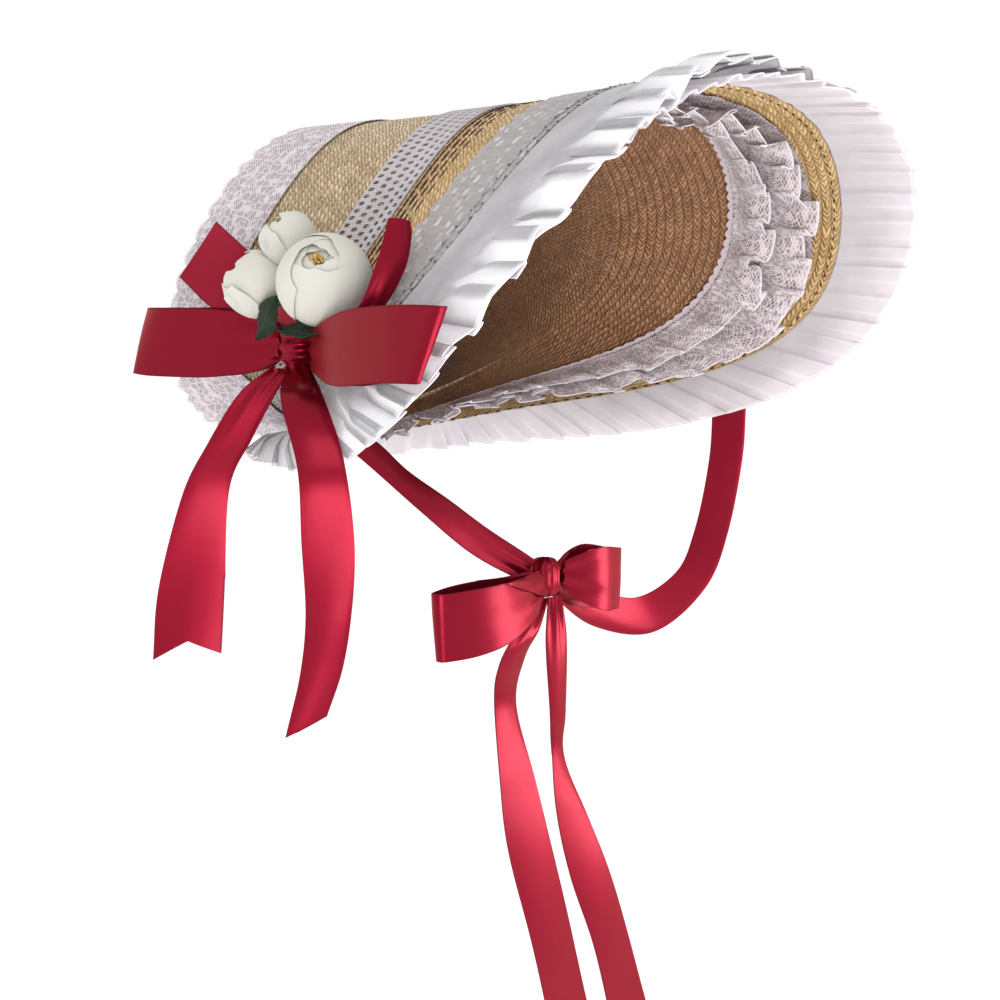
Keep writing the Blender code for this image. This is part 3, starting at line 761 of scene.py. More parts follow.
class Graph:
    """A material and the nodes that feed its shader."""

    def __init__(self, name: str) -> None:
        """Start a material with one Principled shader."""
        self.material = bpy.data.materials.new(name)
        self.material.use_nodes = True
        self.tree = self.material.node_tree
        self.shader = self.tree.nodes["Principled BSDF"]

    def node(
        self,
        kind: str,
        settings: dict[str, object] | None = None,
        inputs: dict[str | int, "Flow | float | tuple | str"] | None = None,
        output: str | int = 0,
    ) -> Flow:
        """Add any node.

        Args:
            kind: The node's type.
            settings: Its own settings; stops gives a ramp's places and colours.
            inputs: Values or links of its sockets.
            output: The socket to go on from.

        Returns:
            The output, ready for expressions.
        """
        made = self.tree.nodes.new(kind)
        for name, value in (settings or {}).items():
            if name == "stops":
                self._stops(made.color_ramp, value)
            else:
                setattr(made, name, value)
        for name, value in (inputs or {}).items():
            self._feed(made.inputs[name], value)
        return Flow(self, made.outputs[output])

    def _stops(self, ramp: bpy.types.ColorRamp, stops: Sequence[tuple[float, Colour]]) -> None:
        """Set the places and colours of a ramp."""
        while len(ramp.elements) < len(stops):
            ramp.elements.new(1.0)
        for element, (place, colour) in zip(ramp.elements, stops):
            element.position = place
            element.color = (*colour, 1.0)

    def _feed(self, socket: bpy.types.NodeSocket, value: "Flow | float | tuple") -> None:
        """Link a socket or set its value."""
        if isinstance(value, Flow):
            self.tree.links.new(value.socket, socket)
        elif socket.type == "RGBA" and len(value) == 3:
            socket.default_value = (*value, 1.0)
        else:
            socket.default_value = value

    def surface(self, **sockets: "Flow | float | tuple") -> None:
        """Set or link sockets of the shader, spaces written as underscores."""
        for name, value in sockets.items():
            self._feed(self.shader.inputs[name.replace("_", " ")], value)

    def weave(self) -> tuple[Flow, Flow]:
        """Give the coordinates along and across the cloth or braid."""
        place = self.node("ShaderNodeUVMap", {"uv_map": WEAVE})
        return tuple(self.node("ShaderNodeSeparateXYZ", inputs={0: place}, output=k) for k in (0, 1))

    def pair(self, first: "Flow | float", second: "Flow | float") -> Flow:
        """Put two values in one vector."""
        return self.node("ShaderNodeCombineXYZ", inputs={0: first, 1: second})

    def place(self) -> Flow:
        """Give the place on the piece, in metres."""
        return self.node("ShaderNodeTexCoord", output="Object")

    def chance(self, first: Flow, second: Flow) -> Flow:
        """Give a fixed random value for each pair of whole numbers."""
        pair = self.pair(first, second)
        return self.node("ShaderNodeTexWhiteNoise", {"noise_dimensions": "2D"}, {"Vector": pair})

    def noise(self, place: Flow, scale: float, detail: float = 2.0) -> Flow:
        """Give soft noise of about 0.3 to 0.7."""
        return self.node("ShaderNodeTexNoise", inputs={"Vector": place, "Scale": scale, "Detail": detail})

    def blend(self, first: "Flow | Colour", second: "Flow | Colour", share: "Flow | float") -> Flow:
        """Mix two colours."""
        made = self.tree.nodes.new("ShaderNodeMix")
        made.data_type = "RGBA"
        self._feed(made.inputs["Factor"], share)
        self._feed(made.inputs[6], first)
        self._feed(made.inputs[7], second)
        return Flow(self, made.outputs[2])

    def bump(self, height: Flow, depth: float, strength: float = 1.0) -> None:
        """Raise the surface by a height of zero to one, depth in millimetres."""
        normal = self.node(
            "ShaderNodeBump", inputs={"Height": height, "Distance": depth * MILLIMETRE, "Strength": strength}
        )
        self.surface(Normal=normal)


@dataclass(frozen=True)
class BraidFinish:
    """Plaited straw: rows of short slanted splints, with painted shade in the crevices between them."""

    name: str
    light: Colour
    dark: Colour
    # Colour of the painted shade in the crevices between rows and splints.
    painted_crevice_shade: Colour
    roughness: float = 0.55

    def material(self) -> bpy.types.Material:
        """Make the material."""
        graph = Graph(self.name)
        along, rows = graph.weave()
        wobble = graph.noise(graph.place(), 90.0)
        row = rows.floor()
        lean = (rows - row - 0.5).absolute()
        splint = along + wobble * 2.2 + lean * 1.7 + row * 0.37
        number = splint.floor()
        side = (rows * 2.0).floor()
        inside = splint - number
        ridge = (inside * math.pi).sine()
        chance = graph.chance(number, side)
        patch = graph.noise(graph.place(), 45.0, 3.0)
        speck = graph.noise(graph.place(), 480.0, 3.0)
        tone = (chance * 0.6 + patch * 0.6 + speck * 1.3 - 0.75).step(0.0, 1.0)
        colour = graph.blend(self.dark, self.light, tone)
        # Painted shade: the seams between braid rows and the gaps between splints are darkened towards the
        # crevice colour.
        seam = lean.step(0.36, 0.5) * 0.55
        gap = ridge.step(0.45, 0.05) * (chance * 0.5 + 0.2)
        colour = graph.blend(colour, self.painted_crevice_shade, seam.most(gap))
        graph.surface(
            Base_Color=colour,
            Roughness=self.roughness + 0.25 * chance - 0.2,
            Specular_IOR_Level=0.6,
        )
        graph.bump(ridge * 0.7 + (1.0 - seam) * 0.3 + chance * 0.35, 1.6)
        return graph.material


@dataclass(frozen=True)
class LaceFinish:
    """Fine net with closer woven flower spots and a closed border."""

    name: str
    thread: Colour
    shade: Colour
    openness: float = 1.0
    spot_pitch: float = 7.0
    border: float = 1.2

    def material(self) -> bpy.types.Material:
        """Make the material."""
        graph = Graph(self.name)
        along, across = graph.weave()
        net = ((along + across) * math.pi).sine().absolute() * ((along - across) * math.pi).sine().absolute()
        hole = net.step(0.28, 0.5)
        cells = graph.node(
            "ShaderNodeTexVoronoi",
            {"voronoi_dimensions": "2D", "feature": "DISTANCE_TO_EDGE"},
            {"Vector": graph.pair(along, across), "Scale": 1.0 / self.spot_pitch, "Randomness": 0.7},
            output="Distance",
        )
        flower = graph.noise(graph.pair(along, across), 0.9 / self.spot_pitch, 3.0).step(0.50, 0.60)
        border = across.step(self.border, self.border - 0.4)
        solid = (cells.step(0.14, 0.05) * 0.8).most(flower * 0.85).most(border)
        alpha = 1.0 - hole * (1.0 - solid) * self.openness
        height = solid * 0.6 + (1.0 - net) * 0.4
        tone = graph.noise(graph.place(), 60.0)
        # Partly painted shade: the colour darkens where the net lies low between its threads and spots, mixed
        # with random tone.
        colour = graph.blend(self.shade, self.thread, (height * 0.8 + tone * 0.5 - 0.1).step(0.1, 0.9))
        graph.surface(
            Base_Color=colour, Roughness=0.85, Specular_IOR_Level=0.25, Alpha=alpha, Sheen_Weight=0.15
        )
        graph.bump(height, 0.5)
        return graph.material


@dataclass(frozen=True)
class PunchedLaceFinish:
    """Closed lace tape with corded edges round its open holes."""

    name: str
    thread: Colour
    shade: Colour

    def material(self) -> bpy.types.Material:
        """Make the material."""
        graph = Graph(self.name)
        along, across = graph.weave()
        cords = ((along + across) * TURN * 1.5).sine() * ((along - across) * TURN * 1.5).sine()
        weft = (across * TURN * 4.0).sine()
        height = (cords * 0.35 + weft * 0.15 + 0.5).step(0.0, 1.0)
        tone = graph.noise(graph.place(), 70.0)
        # Partly painted shade: the colour darkens where the cords and weft lie low, mixed with random tone.
        colour = graph.blend(self.shade, self.thread, (height * 0.6 + tone * 0.6 - 0.1).step(0.0, 1.0))
        graph.surface(Base_Color=colour, Roughness=0.8, Specular_IOR_Level=0.3, Sheen_Weight=0.1)
        graph.bump(height, 0.4)
        return graph.material


@dataclass(frozen=True)
class TulleFinish:
    """Sheer grey net with raised pale tufts and small dark knots."""

    name: str
    veil: Colour
    tuft: Colour
    knot: Colour

    def material(self) -> bpy.types.Material:
        """Make the material."""
        graph = Graph(self.name)
        along, across = graph.weave()
        drift = graph.noise(graph.place(), 160.0, 2.0) - 0.5
        across = across + drift * 0.7
        row = across.floor()
        column = along + row * 0.5 + drift * 0.9
        reach = (column.fraction() - 0.5).absolute()
        rise = (across.fraction() - 0.5).absolute()
        square = reach.step(0.34, 0.20) * rise.step(0.34, 0.20)
        hollow = 1.0 - reach.step(0.16, 0.10) * rise.step(0.16, 0.10) * 0.4
        cross = (reach.step(0.08, 0.03)).most(rise.step(0.08, 0.03)) * 0.5
        pick = graph.chance(column.floor(), row)
        tuft = square * hollow * pick.step(0.25, 0.9)
        height = tuft.most(cross)
        knot = ((reach - 0.5).absolute() ** 2.0 + (rise - 0.5).absolute() ** 2.0).step(0.016, 0.006)
        knot = knot * graph.chance(row, column.floor()).step(0.45, 0.6)
        grain = graph.noise(graph.place(), 900.0, 1.0)
        colour = graph.blend(self.veil, self.tuft, tuft * 0.9 + grain * 0.25 - 0.1)
        colour = graph.blend(colour, self.knot, knot * 0.85)
        alpha = 0.74 + tuft * 0.24 + knot * 0.26
        graph.surface(
            Base_Color=colour, Roughness=0.8, Specular_IOR_Level=0.25, Alpha=alpha, Sheen_Weight=0.1
        )
        graph.bump(height + grain * 0.2, 0.6)
        return graph.material


@dataclass(frozen=True)
class ChiffonFinish:
    """Thin pale cloth, denser and whiter along its free edge and denser along its folds, which carry a
    painted highlight.
    """

    name: str
    bright: Colour
    shade: Colour
    sheer: float
    # Strength of the painted highlight along the fold lines.
    painted_fold_highlight: float = 0.5

    def material(self) -> bpy.types.Material:
        """Make the material."""
        graph = Graph(self.name)
        along, across = graph.weave()
        fold = (along.fraction() - 0.5).absolute()
        # Painted highlight: the fold lines are mixed towards the bright colour and made more opaque; between
        # them the cloth keeps the darker shade colour with random tone.
        ridge = fold.step(0.42, 0.5).most(fold.step(0.10, 0.02)) * across.step(0.12, 0.6)
        edge = across.step(0.93, 0.98)
        tone = graph.noise(graph.place(), 38.0, 3.0)
        light = (ridge * self.painted_fold_highlight + edge * 0.5 + tone * 0.8 - 0.1).step(0.0, 1.0)
        colour = graph.blend(self.shade, self.bright, light)
        alpha = (1.0 - self.sheer) + self.sheer * light
        thread = graph.noise(graph.place(), 1100.0, 1.0)
        graph.surface(
            Base_Color=colour,
            Roughness=0.72 + thread * 0.15,
            Specular_IOR_Level=0.25,
            Alpha=alpha,
            Sheen_Weight=0.2,
            Subsurface_Weight=0.5,
            Subsurface_Radius=(1.0, 0.9, 1.0),
            Subsurface_Scale=0.004,
        )
        graph.bump(thread * 0.5 + tone, 0.35)
        return graph.material


@dataclass(frozen=True)
class SatinFinish:
    """Crimson satin ribbon with a close lengthwise thread and woven edges."""

    name: str
    colour: Colour
    shade: Colour
    gloss: Colour

    def material(self) -> bpy.types.Material:
        """Make the material."""
        graph = Graph(self.name)
        along, across = graph.weave()
        thread = (across * TURN * 34.0).sine() * 0.5 + 0.5
        weft = graph.noise(graph.pair(along * 6.0, across * 60.0), 1.0, 2.0)
        selvedge = (across - 0.5).absolute().step(0.47, 0.49)
        tone = graph.noise(graph.place(), 30.0)
        colour = graph.blend(self.colour, self.shade, (selvedge * 0.6 + tone * 0.5 - 0.1).step(0.0, 1.0))
        graph.surface(
            Base_Color=colour,
            Roughness=0.26 + weft * 0.10 + selvedge * 0.2,
            Metallic=0.7,
            Specular_IOR_Level=0.2,
            Specular_Tint=(*self.gloss, 1.0),
            Coat_Weight=0.14,
            Coat_Roughness=0.2,
        )
        graph.bump(thread * 0.2 + weft * 0.6 + selvedge * 0.8, 0.035)
        return graph.material


@dataclass(frozen=True)
class PetalFinish:
    """Creamy petal, greener at its foot, with faint veins."""

    name: str
    cream: Colour
    foot: Colour

    def material(self) -> bpy.types.Material:
        """Make the material."""
        graph = Graph(self.name)
        along, across = graph.weave()
        veins = ((along * 40.0) + graph.noise(graph.place(), 120.0) * 4.0).sine() * 0.5 + 0.5
        tone = graph.noise(graph.place(), 55.0, 3.0)
        foot = across.step(0.45, 0.0)
        colour = graph.blend(self.cream, self.foot, (foot * 0.8 + (tone - 0.45) * 0.5).step(0.0, 1.0))
        graph.surface(
            Base_Color=colour,
            Roughness=0.55 + tone * 0.15,
            Specular_IOR_Level=0.35,
            Subsurface_Weight=0.25,
            Subsurface_Radius=(1.0, 0.9, 0.6),
            Subsurface_Scale=0.002,
        )
        graph.bump(veins * 0.25 + tone, 0.25)
        return graph.material


@dataclass(frozen=True)
class LeafFinish:
    """Dark leaf with paler veins."""

    name: str
    green: Colour
    vein: Colour

    def material(self) -> bpy.types.Material:
        """Make the material."""
        graph = Graph(self.name)
        along, across = graph.weave()
        middle = (across - 0.5).absolute()
        rib = middle.step(0.06, 0.01)
        side = ((along * 9.0 - middle * 5.0) * TURN).sine().step(0.75, 0.98) * 0.6
        tone = graph.noise(graph.place(), 90.0, 3.0)
        colour = graph.blend(self.green, self.vein, (rib.most(side) * 0.8 + tone * 0.3 - 0.1).step(0.0, 1.0))
        graph.surface(Base_Color=colour, Roughness=0.5 + tone * 0.2, Specular_IOR_Level=0.25)
        graph.bump(rib.most(side) + tone * 0.4, 0.35)
        return graph.material


@dataclass(frozen=True)
class ThreadFinish:
    """Sewing thread, cord or a flower's heart."""

    name: str
    light: Colour
    dark: Colour

    def material(self) -> bpy.types.Material:
        """Make the material."""
        graph = Graph(self.name)
        tone = graph.noise(graph.place(), 600.0, 2.0)
        graph.surface(
            Base_Color=graph.blend(self.dark, self.light, tone.step(0.35, 0.65)),
            Roughness=0.5 + tone * 0.3,
            Specular_IOR_Level=0.4,
        )
        graph.bump(tone, 0.2)
        return graph.material


@dataclass
class StrawBody:
    """The crown and brim, sewn from rows of braid."""

    form: BonnetForm
    braid: float = 3.3
    relief: float = 0.8
    tuck: float = 0.025
    bare_share: float = 0.42
    golden_share: float = 0.68
    steps: int = 5
    angles: int = 240
    # The third colour of each braid finish is the painted shade in its crevices.
    outside: BraidFinish = BraidFinish(
        "straw_outside", (0.80, 0.63, 0.41), (0.46, 0.32, 0.17), (0.20, 0.12, 0.06)
    )
    inside: BraidFinish = BraidFinish(
        "straw_inside", (0.45, 0.22, 0.10), (0.24, 0.10, 0.04), (0.09, 0.035, 0.015)
    )
    rim: BraidFinish = BraidFinish(
        "straw_rim", (0.80, 0.56, 0.26), (0.48, 0.28, 0.10), (0.20, 0.10, 0.04)
    )

    def _rows(self, face: Callable[[Grid, Grid], Grid], low: float, high: float) -> Grid:
        """Place columns so that the braid rows are equally wide.

        Args:
            face: Gives points for angles and shares.
            low: First share.
            high: Last share.

        Returns:
            The shares of the columns.
        """
        shares = np.linspace(low, high, 300)
        coarse = self.form.angles(40)
        lengths = mean_lengths(face(coarse, np.tile(shares, (40, 1))))
        count = self.steps * max(1, round(lengths[-1] / self.braid))
        return np.interp(np.linspace(0.0, lengths[-1], count + 1), lengths, shares)

    def _ridges(self, columns: int) -> Grid:
        """Give the height of the braid at each column."""
        rows = np.arange(columns) / self.steps
        return self.relief * np.abs(np.sin(rows * math.pi)) ** 0.7

    def crown(self) -> bpy.types.Object:
        """Build the crown."""
        form, angles = self.form, self.form.angles(self.angles)
        shares = self._rows(form.crown_face, 0.0, 1.985)
        face = form.crown_face(angles, np.tile(shares, (len(angles), 1)))
        normals = outward(face)
        outer = face + (self._ridges(len(shares)) - self.relief)[:, None] * normals
        weave = closed_weave(len(angles), np.arange(len(shares)) / self.steps, 200.0)
        inner_shares = shares[:: self.steps]
        lining = form.crown_face(angles, np.tile(inner_shares, (len(angles), 1)))
        inner = lining - form.straw * outward(lining)
        inner_weave = closed_weave(len(angles), np.arange(len(inner_shares)) * 1.5, 260.0)
        draft = MeshDraft()
        top = draft.skin(outer, weave, True)
        low = draft.skin(inner, inner_weave, True, 1)
        draft.rim(top[:, 0], low[:, 0], weave[:, 0])
        for number, grid, slot in ((top, outer, 0), (low, inner, 1)):
            middle = int(draft.take(grid[:, -1].mean(axis=0)[None])[0])
            line = number[:, -1]
            corners = np.stack([line[:-1], line[1:], np.full(len(line) - 1, middle)], axis=1)
            draft.fill(corners, np.zeros((len(corners), 3, 2)), slot)
        piece = draft.build("straw_crown", self.outside.material(), self.inside.material())
        stand_for("crown", Slot.STRAW, piece)
        return piece

    def brim(self, outside: bpy.types.Material, inside: bpy.types.Material) -> bpy.types.Object:
        """Build the brim from the crown's two finishes."""
        form, angles = self.form, self.form.angles(self.angles)
        shares = self._rows(form.brim_face, -self.tuck, 1.0)
        face = form.brim_face(angles, np.tile(shares, (len(angles), 1)))
        normals = outward(face)
        ridges = (self._ridges(len(shares)) - self.relief)[:, None] * normals
        weave = closed_weave(len(angles), np.arange(len(shares)) / self.steps, 240.0)
        draft = MeshDraft()
        top, low = draft.take(face + ridges), draft.take(face - form.straw * normals - ridges)
        top, low = np.concatenate([top, top[:1]]), np.concatenate([low, low[:1]])
        bare, golden = int(self.bare_share * len(shares)), int(self.golden_share * len(shares))
        for number, turn, before, after in ((top, bare, 2, 0), (low, golden, 1, 2)):
            draft.patch(number[:, : turn + 1], weave[:, : turn + 1], before)
            draft.patch(number[:, turn:], weave[:, turn:], after)
        for k in (0, -1):
            draft.rim(top[:, k], low[:, k], weave[:, k])
        piece = draft.build("straw_brim", outside, inside, self.rim.material())
        stand_for("brim", Slot.STRAW, piece)
        return piece


@dataclass
class Stitching:
    """Brown machine stitches on the bare straw strip and round the brim's inside."""

    form: BonnetForm
    lines: tuple[float, ...] = (0.8, 6.8, 12.8, 18.8)
    pitches: tuple[float, ...] = (5.4, 9.4, 8.3, 10.1)
    shares: tuple[float, ...] = (1.06, 0.86, 0.80, 0.72)
    thickness: float = 0.5
    rim_pitch: float = 6.5
    rim_share: float = 0.42
    thread: ThreadFinish = ThreadFinish("stitch_thread", (0.075, 0.022, 0.012), (0.025, 0.008, 0.005))

    def _line(
        self,
        draft: MeshDraft,
        face: Callable[[Grid], Grid],
        pitch: float,
        share: float,
        up_sign: float,
        covered: Callable[[Grid], Grid],
    ) -> None:
        """Sew one line of stitches.

        Args:
            draft: The mesh that they go to.
            face: Gives two near columns of points for angles; the first is the line.
            pitch: From one stitch to the next.
            share: How much of the pitch shows as thread.
            up_sign: 1 to stand proud outwards, -1 inwards.
            covered: Tells for angles where the line lies under other cloth.
        """
        fine = self.form.angles(2000)
        loop = face(np.append(fine, TURN))[:, 0]
        length = np.concatenate([[0.0], np.cumsum(np.linalg.norm(np.diff(loop, axis=0), axis=1))])
        count = round(length[-1] / pitch)
        angles = np.interp(np.arange(count) * length[-1] / count, length, np.append(fine, TURN))
        grid = face(angles)
        along = unit(np.roll(grid[:, 0], -1, axis=0) - np.roll(grid[:, 0], 1, axis=0))
        up = up_sign * outward(grid)[:, 0]
        half = 0.5 * share * length[-1] / count
        seen = ~covered(angles)
        centres = (grid[:, 0] + 0.1 * self.thickness * up)[seen]
        add_beads(draft, centres, along[seen], up[seen], (half, self.thickness, self.thickness))

    def build(self) -> list[bpy.types.Object]:
        """Build both pieces of stitching."""
        form = self.form
        strip = MeshDraft()
        for place, pitch, share in zip(self.lines, self.pitches, self.shares):

            def face(angles: Grid, place: float = place) -> Grid:
                """Give the line and a place beside it."""
                start = place / form.brim_width(angles)
                return form.brim_face(angles, np.stack([start, start + 0.01], axis=1))

            def covered(angles: Grid, place: float = place) -> Grid:
                """Tell where the tulle covers the line."""
                return place > form.tulle_start(angles) * form.brim_width(angles) - 0.6

            self._line(strip, face, pitch, share, 1.0, covered)

        def rim_face(angles: Grid) -> Grid:
            """Give the line near the brim's edge, on its inside."""
            grid = form.brim_face(angles, np.tile((0.972, 0.99), (len(angles), 1)))
            return grid - form.straw * outward(grid)

        def uncovered(angles: Grid) -> Grid:
            """Tell that no cloth covers the line."""
            return np.zeros(len(angles), bool)

        rim = MeshDraft()
        self._line(rim, rim_face, self.rim_pitch, self.rim_share, -1.0, uncovered)
        material = self.thread.material()
        return [strip.build("strip_stitches", material), rim.build("rim_stitches", material)]


@dataclass
class CrownLace:
    """The scalloped lace on the crown's back edge and the net tape beside the brim."""

    form: BonnetForm
    start: float = 0.70
    nape_spread: float = 0.38
    nape_folds: int = 52
    overhang: float = 5.0
    scallop: float = 4.0
    scallops: int = 40
    tape_end: float = 0.273
    tape_rows: int = 5
    tape_cells: int = 146
    hole: float = 0.60
    back_finish: LaceFinish = LaceFinish("lace_net", (0.76, 0.69, 0.72), (0.52, 0.46, 0.49), 0.6, 2.7)
    tape_finish: PunchedLaceFinish = PunchedLaceFinish("lace_tape", (0.60, 0.56, 0.59), (0.40, 0.36, 0.38))

    def back(self) -> bpy.types.Object:
        """Build the scalloped lace, which falls in soft gathers at the nape."""
        form, angles = self.form, self.form.angles(720)
        columns = np.linspace(0.0, 1.0, 19)
        start = self.start - self.nape_spread * smoothstep(-np.cos(angles), 0.30, 0.75)
        wall = form.crown_face(angles, np.stack([start, np.ones_like(start)], axis=1))
        along = unit(form.tip_ring(angles) - form.base_ring(angles))
        wave = np.abs(np.sin(angles * self.scallops / 2.0)) ** 0.8
        edge = wall[:, 1] + (self.overhang + self.scallop * wave)[:, None] * along
        crease = np.clip(columns / 0.8, 0.0, 1.0)[None, :, None]
        hang = np.clip((columns - 0.8) / 0.2, 0.0, 1.0)[None, :, None]
        face = wall[:, :1] + crease * (wall[:, 1:] - wall[:, :1]) + hang * (edge - wall[:, 1])[:, None]
        normals = outward(face)
        nape = smoothstep(-np.cos(angles), 0.35, 0.95)
        phase = uneven_phase(angles, self.nape_folds, 0.4, 5)
        lift = (nape * (1.0 + np.sin(TURN * phase)) * 1.3)[:, None] * columns + 0.25
        lift += 0.25 * gentle_noise(angles, 20, 60, 8)[:, None] * columns
        middle = face + (form.gap + 0.5 + lift)[..., None] * normals
        reach = mean_lengths(middle)
        weave = closed_weave(len(angles), (reach[-1] - reach) / 1.9, 310.0)
        draft = MeshDraft()
        draft.wall(middle + HALF_CLOTH * normals, middle - HALF_CLOTH * normals, weave, True)
        piece = draft.build("back_lace", self.back_finish.material())
        stand_for("crown_back_lace", Slot.LACE, piece)
        declare_cloth(middle)
        return piece

    def tape(self) -> bpy.types.Object:
        """Build the net tape with its rows of real holes."""
        form, rows = self.form, self.tape_rows
        angles = form.angles(2 * self.tape_cells)
        start = 3.0 / form.crown_length(angles)
        steps = np.linspace(0.0, 1.0, 2 * rows + 1)
        face = form.crown_face(angles, start[:, None] + (self.tape_end - start)[:, None] * steps)
        normals = outward(face)
        draft = MeshDraft()
        weave = closed_weave(len(angles), steps * rows, float(self.tape_cells))
        lines = []
        for lift in (form.gap + 0.9, form.gap + 0.1):
            side = face + lift * normals
            number = draft.take(side)
            number = np.concatenate([number, number[:2]])
            holes = []
            for row in range(rows):
                middle = 1 + 2 * np.arange(self.tape_cells) + row % 2
                cell = 2 * row + 1
                around = ((-1, -1), (0, -1), (1, -1), (1, 0), (1, 1), (0, 1), (-1, 1), (-1, 0))
                outer = np.stack([number[middle + i, cell + j] for i, j in around], axis=1)
                wide = len(angles)
                centre = side[middle % wide, cell]
                rim = []
                for i, j in around:
                    share = self.hole * (0.78 if i and j else 1.0)
                    rim.append(centre + share * (side[(middle + i) % wide, cell + j] - centre))
                inner = draft.take(np.stack(rim, axis=1))
                holes.append(inner)
                place = np.stack([middle / 2.0, np.full(len(middle), row + 0.5)], axis=1)
                offsets = np.array(around) * 0.5
                for n in range(8):
                    m = (n + 1) % 8
                    corners = np.stack([outer[:, n], outer[:, m], inner[:, m], inner[:, n]], axis=1)
                    reaches = (offsets[n], offsets[m], 0.5 * offsets[m], 0.5 * offsets[n])
                    draft.fill(corners, np.stack([place + reach for reach in reaches], axis=1))
            lines.append((number[: len(angles) + 1], holes))
        for row in range(rows):
            upper, lower = lines[0][1][row], lines[1][1][row]
            for n in range(8):
                m = (n + 1) % 8
                corners = np.stack([upper[:, n], upper[:, m], lower[:, m], lower[:, n]], axis=1)
                draft.fill(corners, np.zeros((len(corners), 4, 2)))
        for k in (0, -1):
            draft.rim(lines[0][0][:, k], lines[1][0][:, k], weave[:, k])
        piece = draft.build("net_tape", self.tape_finish.material())
        stand_for("crown_lace_band", Slot.LACE, piece)
        declare_cloth(face)
        return piece


@dataclass
class BrimTulle:
    """The sheer dotted tulle over the brim and the two gathering cords of the ruffle."""

    form: BonnetForm
    under_ruffle: float = 0.20
    tufts: float = 120.0
    row_pitch: float = 6.5
    finish: TulleFinish = TulleFinish(
        "tulle_net", (0.46, 0.43, 0.425), (0.68, 0.65, 0.64), (0.09, 0.08, 0.08)
    )
    cord: ThreadFinish = ThreadFinish("seam_cord", (0.46, 0.45, 0.46), (0.20, 0.19, 0.21))
    bead: ThreadFinish = ThreadFinish("seam_knot", (0.16, 0.15, 0.17), (0.06, 0.05, 0.07))

    def veil(self) -> bpy.types.Object:
        """Build the tulle with its irregular back edge."""
        form, angles = self.form, self.form.angles(540)
        start = form.tulle_start(angles)
        ragged = 0.012 * gentle_noise(angles, 40, 90, 3)
        start = start + np.maximum(ragged, -0.3 * start)
        end = form.seam(angles) + self.under_ruffle
        shares = start[:, None] + (end - start)[:, None] * np.linspace(0.0, 1.0, 10)
        face = form.brim_face(angles, shares)
        normals = outward(face)
        ripple = 0.15 * gentle_noise(angles, 60, 120, 4)
        middle = face + (form.seat + 0.3 + ripple)[:, None, None] * normals
        width = form.brim_width(angles)
        across = shares * width[:, None] / self.row_pitch
        along = angles * self.tufts / TURN
        draft = MeshDraft()
        weave = folded_weave(along, across, self.tufts)
        draft.wall(middle + HALF_CLOTH * normals, middle - HALF_CLOTH * normals, weave, True)
        piece = draft.build("dotted_tulle", self.finish.material())
        stand_for("brim_tulle", Slot.TULLE, piece)
        declare_cloth(middle)
        return piece

    def cords(self) -> list[bpy.types.Object]:
        """Build the two cords along the seam and the dark knots on them."""
        form, angles = self.form, self.form.angles(720)
        width = form.brim_width(angles)
        cords, knots = MeshDraft(), MeshDraft()
        for back, step, seed in ((1.5, 6.5, 1), (8.0, 7.5, 2)):
            share = form.seam(angles) - back / width + 0.004 * gentle_noise(angles, 20, 50, seed)
            grid = form.brim_face(angles, np.stack([share, share + 0.01], axis=1))
            normals = outward(grid)[:, 0]
            path = grid[:, 0] + (form.seat + 0.75) * normals
            add_tube(cords, path, normals, 0.45, 6, True)
            every = np.arange(0, len(angles), max(1, round(len(angles) * step / 800.0)))
            along = unit(np.roll(path, -1, axis=0) - path)
            spots = (path + 0.3 * normals)[every]
            add_beads(knots, spots, along[every], normals[every], (0.9, 0.6, 0.5))
        cord, bead = self.cord.material(), self.bead.material()
        return [cords.build("seam_cords", cord), knots.build("seam_knots", bead)]


@dataclass(frozen=True)
class FoldShape:
    """How a strip of cloth is gathered or pleated round the bonnet."""

    count: int
    depth: float
    slide: float
    sway: float
    crisp: float
    seed: int


